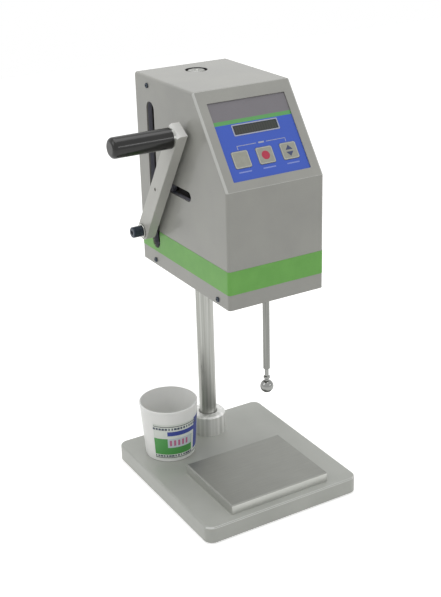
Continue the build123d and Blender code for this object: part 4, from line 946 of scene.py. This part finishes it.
def dress_plastics():
    """Plastics, film, rubber, boards and paper, and the prints that lie on them."""
    light = screen_ink("pale_grey_ink", "#989DB1", "#B0B4C4")
    dress(calendered_vinyl(), "head_band")
    dress(moulded_abs(), "top_ring", "mains_inlet", "power_switch_frame", "power_switch_rocker",
          "key_switches", "drive_motor")
    dress(nitrile_rubber(), "base_mat")
    dress(moulded_phenolic(), "lever_grip")
    dress(printed_polyester(), "front_panel")
    dress(display_acrylic(), "display_window")
    dress(light, "display_bezel")
    dress(solder_masked_board(), "display_module", "key_board", "control_board")
    dress(embossed_polyester(), "key_left", "key_centre", "key_right")
    dress(blown_polypropylene(), "sample_cup")
    dress(coated_paper(), "cup_label")
    cream = screen_ink("cream_ink", "#AEB0A6", "#C0C2B8")
    red = screen_ink("red_ink", "#A42842", "#BC3450")
    navy = screen_ink("navy_ink", "#323C5C", "#414C70")
    key_prints(cream, red, navy)
    panel_prints(light, screen_ink("pale_blue_ink", "#7486CC", "#8C9BD6"))
    display_cells(screen_ink("display_grey_ink", "#2E302C", "#343732"))
    small_print = screen_ink("slate_ink", "#3E4656", "#586070")
    label_bars("label_top_bars", small_print, -150, -26, 0.875, 2.8 * MM, 3)
    label_bars("label_foot_bars", small_print, -150, -60, 0.1, 2.2 * MM, 8)


# Stage, lamps and camera

def stage():
    """White studio floor: it keeps the shadow; only camera and mirror rays see its glow."""
    floor_glow, floor_half = 0.6, 2.4
    material, tree, _ = begin("studio_paper", "#E9E9E7")
    path = add(tree, "ShaderNodeLightPath").outputs
    seen = add(tree, "ShaderNodeMath", {0: path["Is Camera Ray"], 1: path["Is Glossy Ray"]},
               operation="MAXIMUM")
    glow = add(tree, "ShaderNodeMath", {0: seen, 1: floor_glow}, operation="MULTIPLY")
    shader = add(tree, "ShaderNodeBsdfPrincipled", {
        "Base Color": srgb("#E9E9E7"), "Roughness": 0.9, "IOR": 1.5,
        "Emission Color": (1, 1, 1, 1), "Emission Strength": glow,
    })
    add(tree, "ShaderNodeOutputMaterial", {"Surface": shader})
    mesh = bmesh.new()
    bmesh.ops.create_grid(mesh, x_segments=1, y_segments=1, size=floor_half)
    data = bpy.data.meshes.new("studio_floor")
    mesh.to_mesh(data)
    mesh.free()
    floor = bpy.data.objects.new("studio_floor", data)
    bpy.context.scene.collection.objects.link(floor)
    data.materials.append(material)


def world():
    """Soft even light from all round, seen as plain white by camera, mirror and clear rays."""
    light_level, seen_level = 0.58, 1.0
    sky = bpy.data.worlds.new("studio")
    bpy.context.scene.world = sky
    sky.use_nodes = True
    tree = sky.node_tree
    tree.nodes.clear()
    path = add(tree, "ShaderNodeLightPath").outputs
    seen = add(tree, "ShaderNodeMath", {0: path["Is Camera Ray"], 1: path["Is Glossy Ray"]},
               operation="MAXIMUM")
    through = add(tree, "ShaderNodeMath", {0: seen, 1: path["Is Transmission Ray"]},
                  operation="MAXIMUM")
    strength = add(tree, "ShaderNodeMapRange", {
        "Value": through, "To Min": light_level, "To Max": seen_level,
    })
    back = add(tree, "ShaderNodeBackground", {"Color": (1, 1, 1, 1), "Strength": strength})
    add(tree, "ShaderNodeOutputWorld", {"Surface": back})


def soft_box(name, place, target, size, power):
    """A rectangular lamp turned to its target, unseen by the camera itself."""
    data = bpy.data.lights.new(name, "AREA")
    data.shape = "RECTANGLE"
    data.size, data.size_y = size
    data.energy = power
    lamp = bpy.data.objects.new(name, data)
    lamp.location = place
    lamp.rotation_euler = (Vector(target) - Vector(place)).to_track_quat("-Z", "Y").to_euler()
    lamp.visible_camera = False
    bpy.context.scene.collection.objects.link(lamp)


def lamps():
    """One large lamp overhead, one at the left and a low strip in front at the right."""
    middle = (0, 0, 0.35)
    soft_box("overhead_softbox", (0.1, 0.1, 2.2), middle, (1.6, 1.6), 13)
    soft_box("left_softbox", (-1.6, 0.2, 1.5), middle, (0.9, 1.2), 5)
    soft_box("strip_light", (0.96, -1.6, 0.97), middle, (0.9, 0.2), 2.5)


def camera():
    """The lens sees 29 degrees of height; the shift sets the small off-centre crop."""
    standpoint = (-0.6447, -1.0797, 0.7779)
    azimuth, elevation, roll = (math.radians(a) for a in (-30.33, 23.07, -1.45))
    data = bpy.data.cameras.new("camera")
    data.sensor_fit = "AUTO"
    data.sensor_width = 36.0
    data.lens = 69.37
    data.shift_x = -0.0141
    data.shift_y = -0.0035
    eye = bpy.data.objects.new("camera", data)
    eye.matrix_world = (
        Matrix.Translation(standpoint)
        @ Matrix.Rotation(azimuth, 4, "Z")
        @ Matrix.Rotation(math.pi / 2 - elevation, 4, "X")
        @ Matrix.Rotation(roll, 4, "Z")
    )
    bpy.context.scene.collection.objects.link(eye)
    bpy.context.scene.camera = eye


dress_metalwork()
dress_plastics()
stage()
world()
lamps()
camera()
bpy.context.scene.view_settings.view_transform = "Standard"
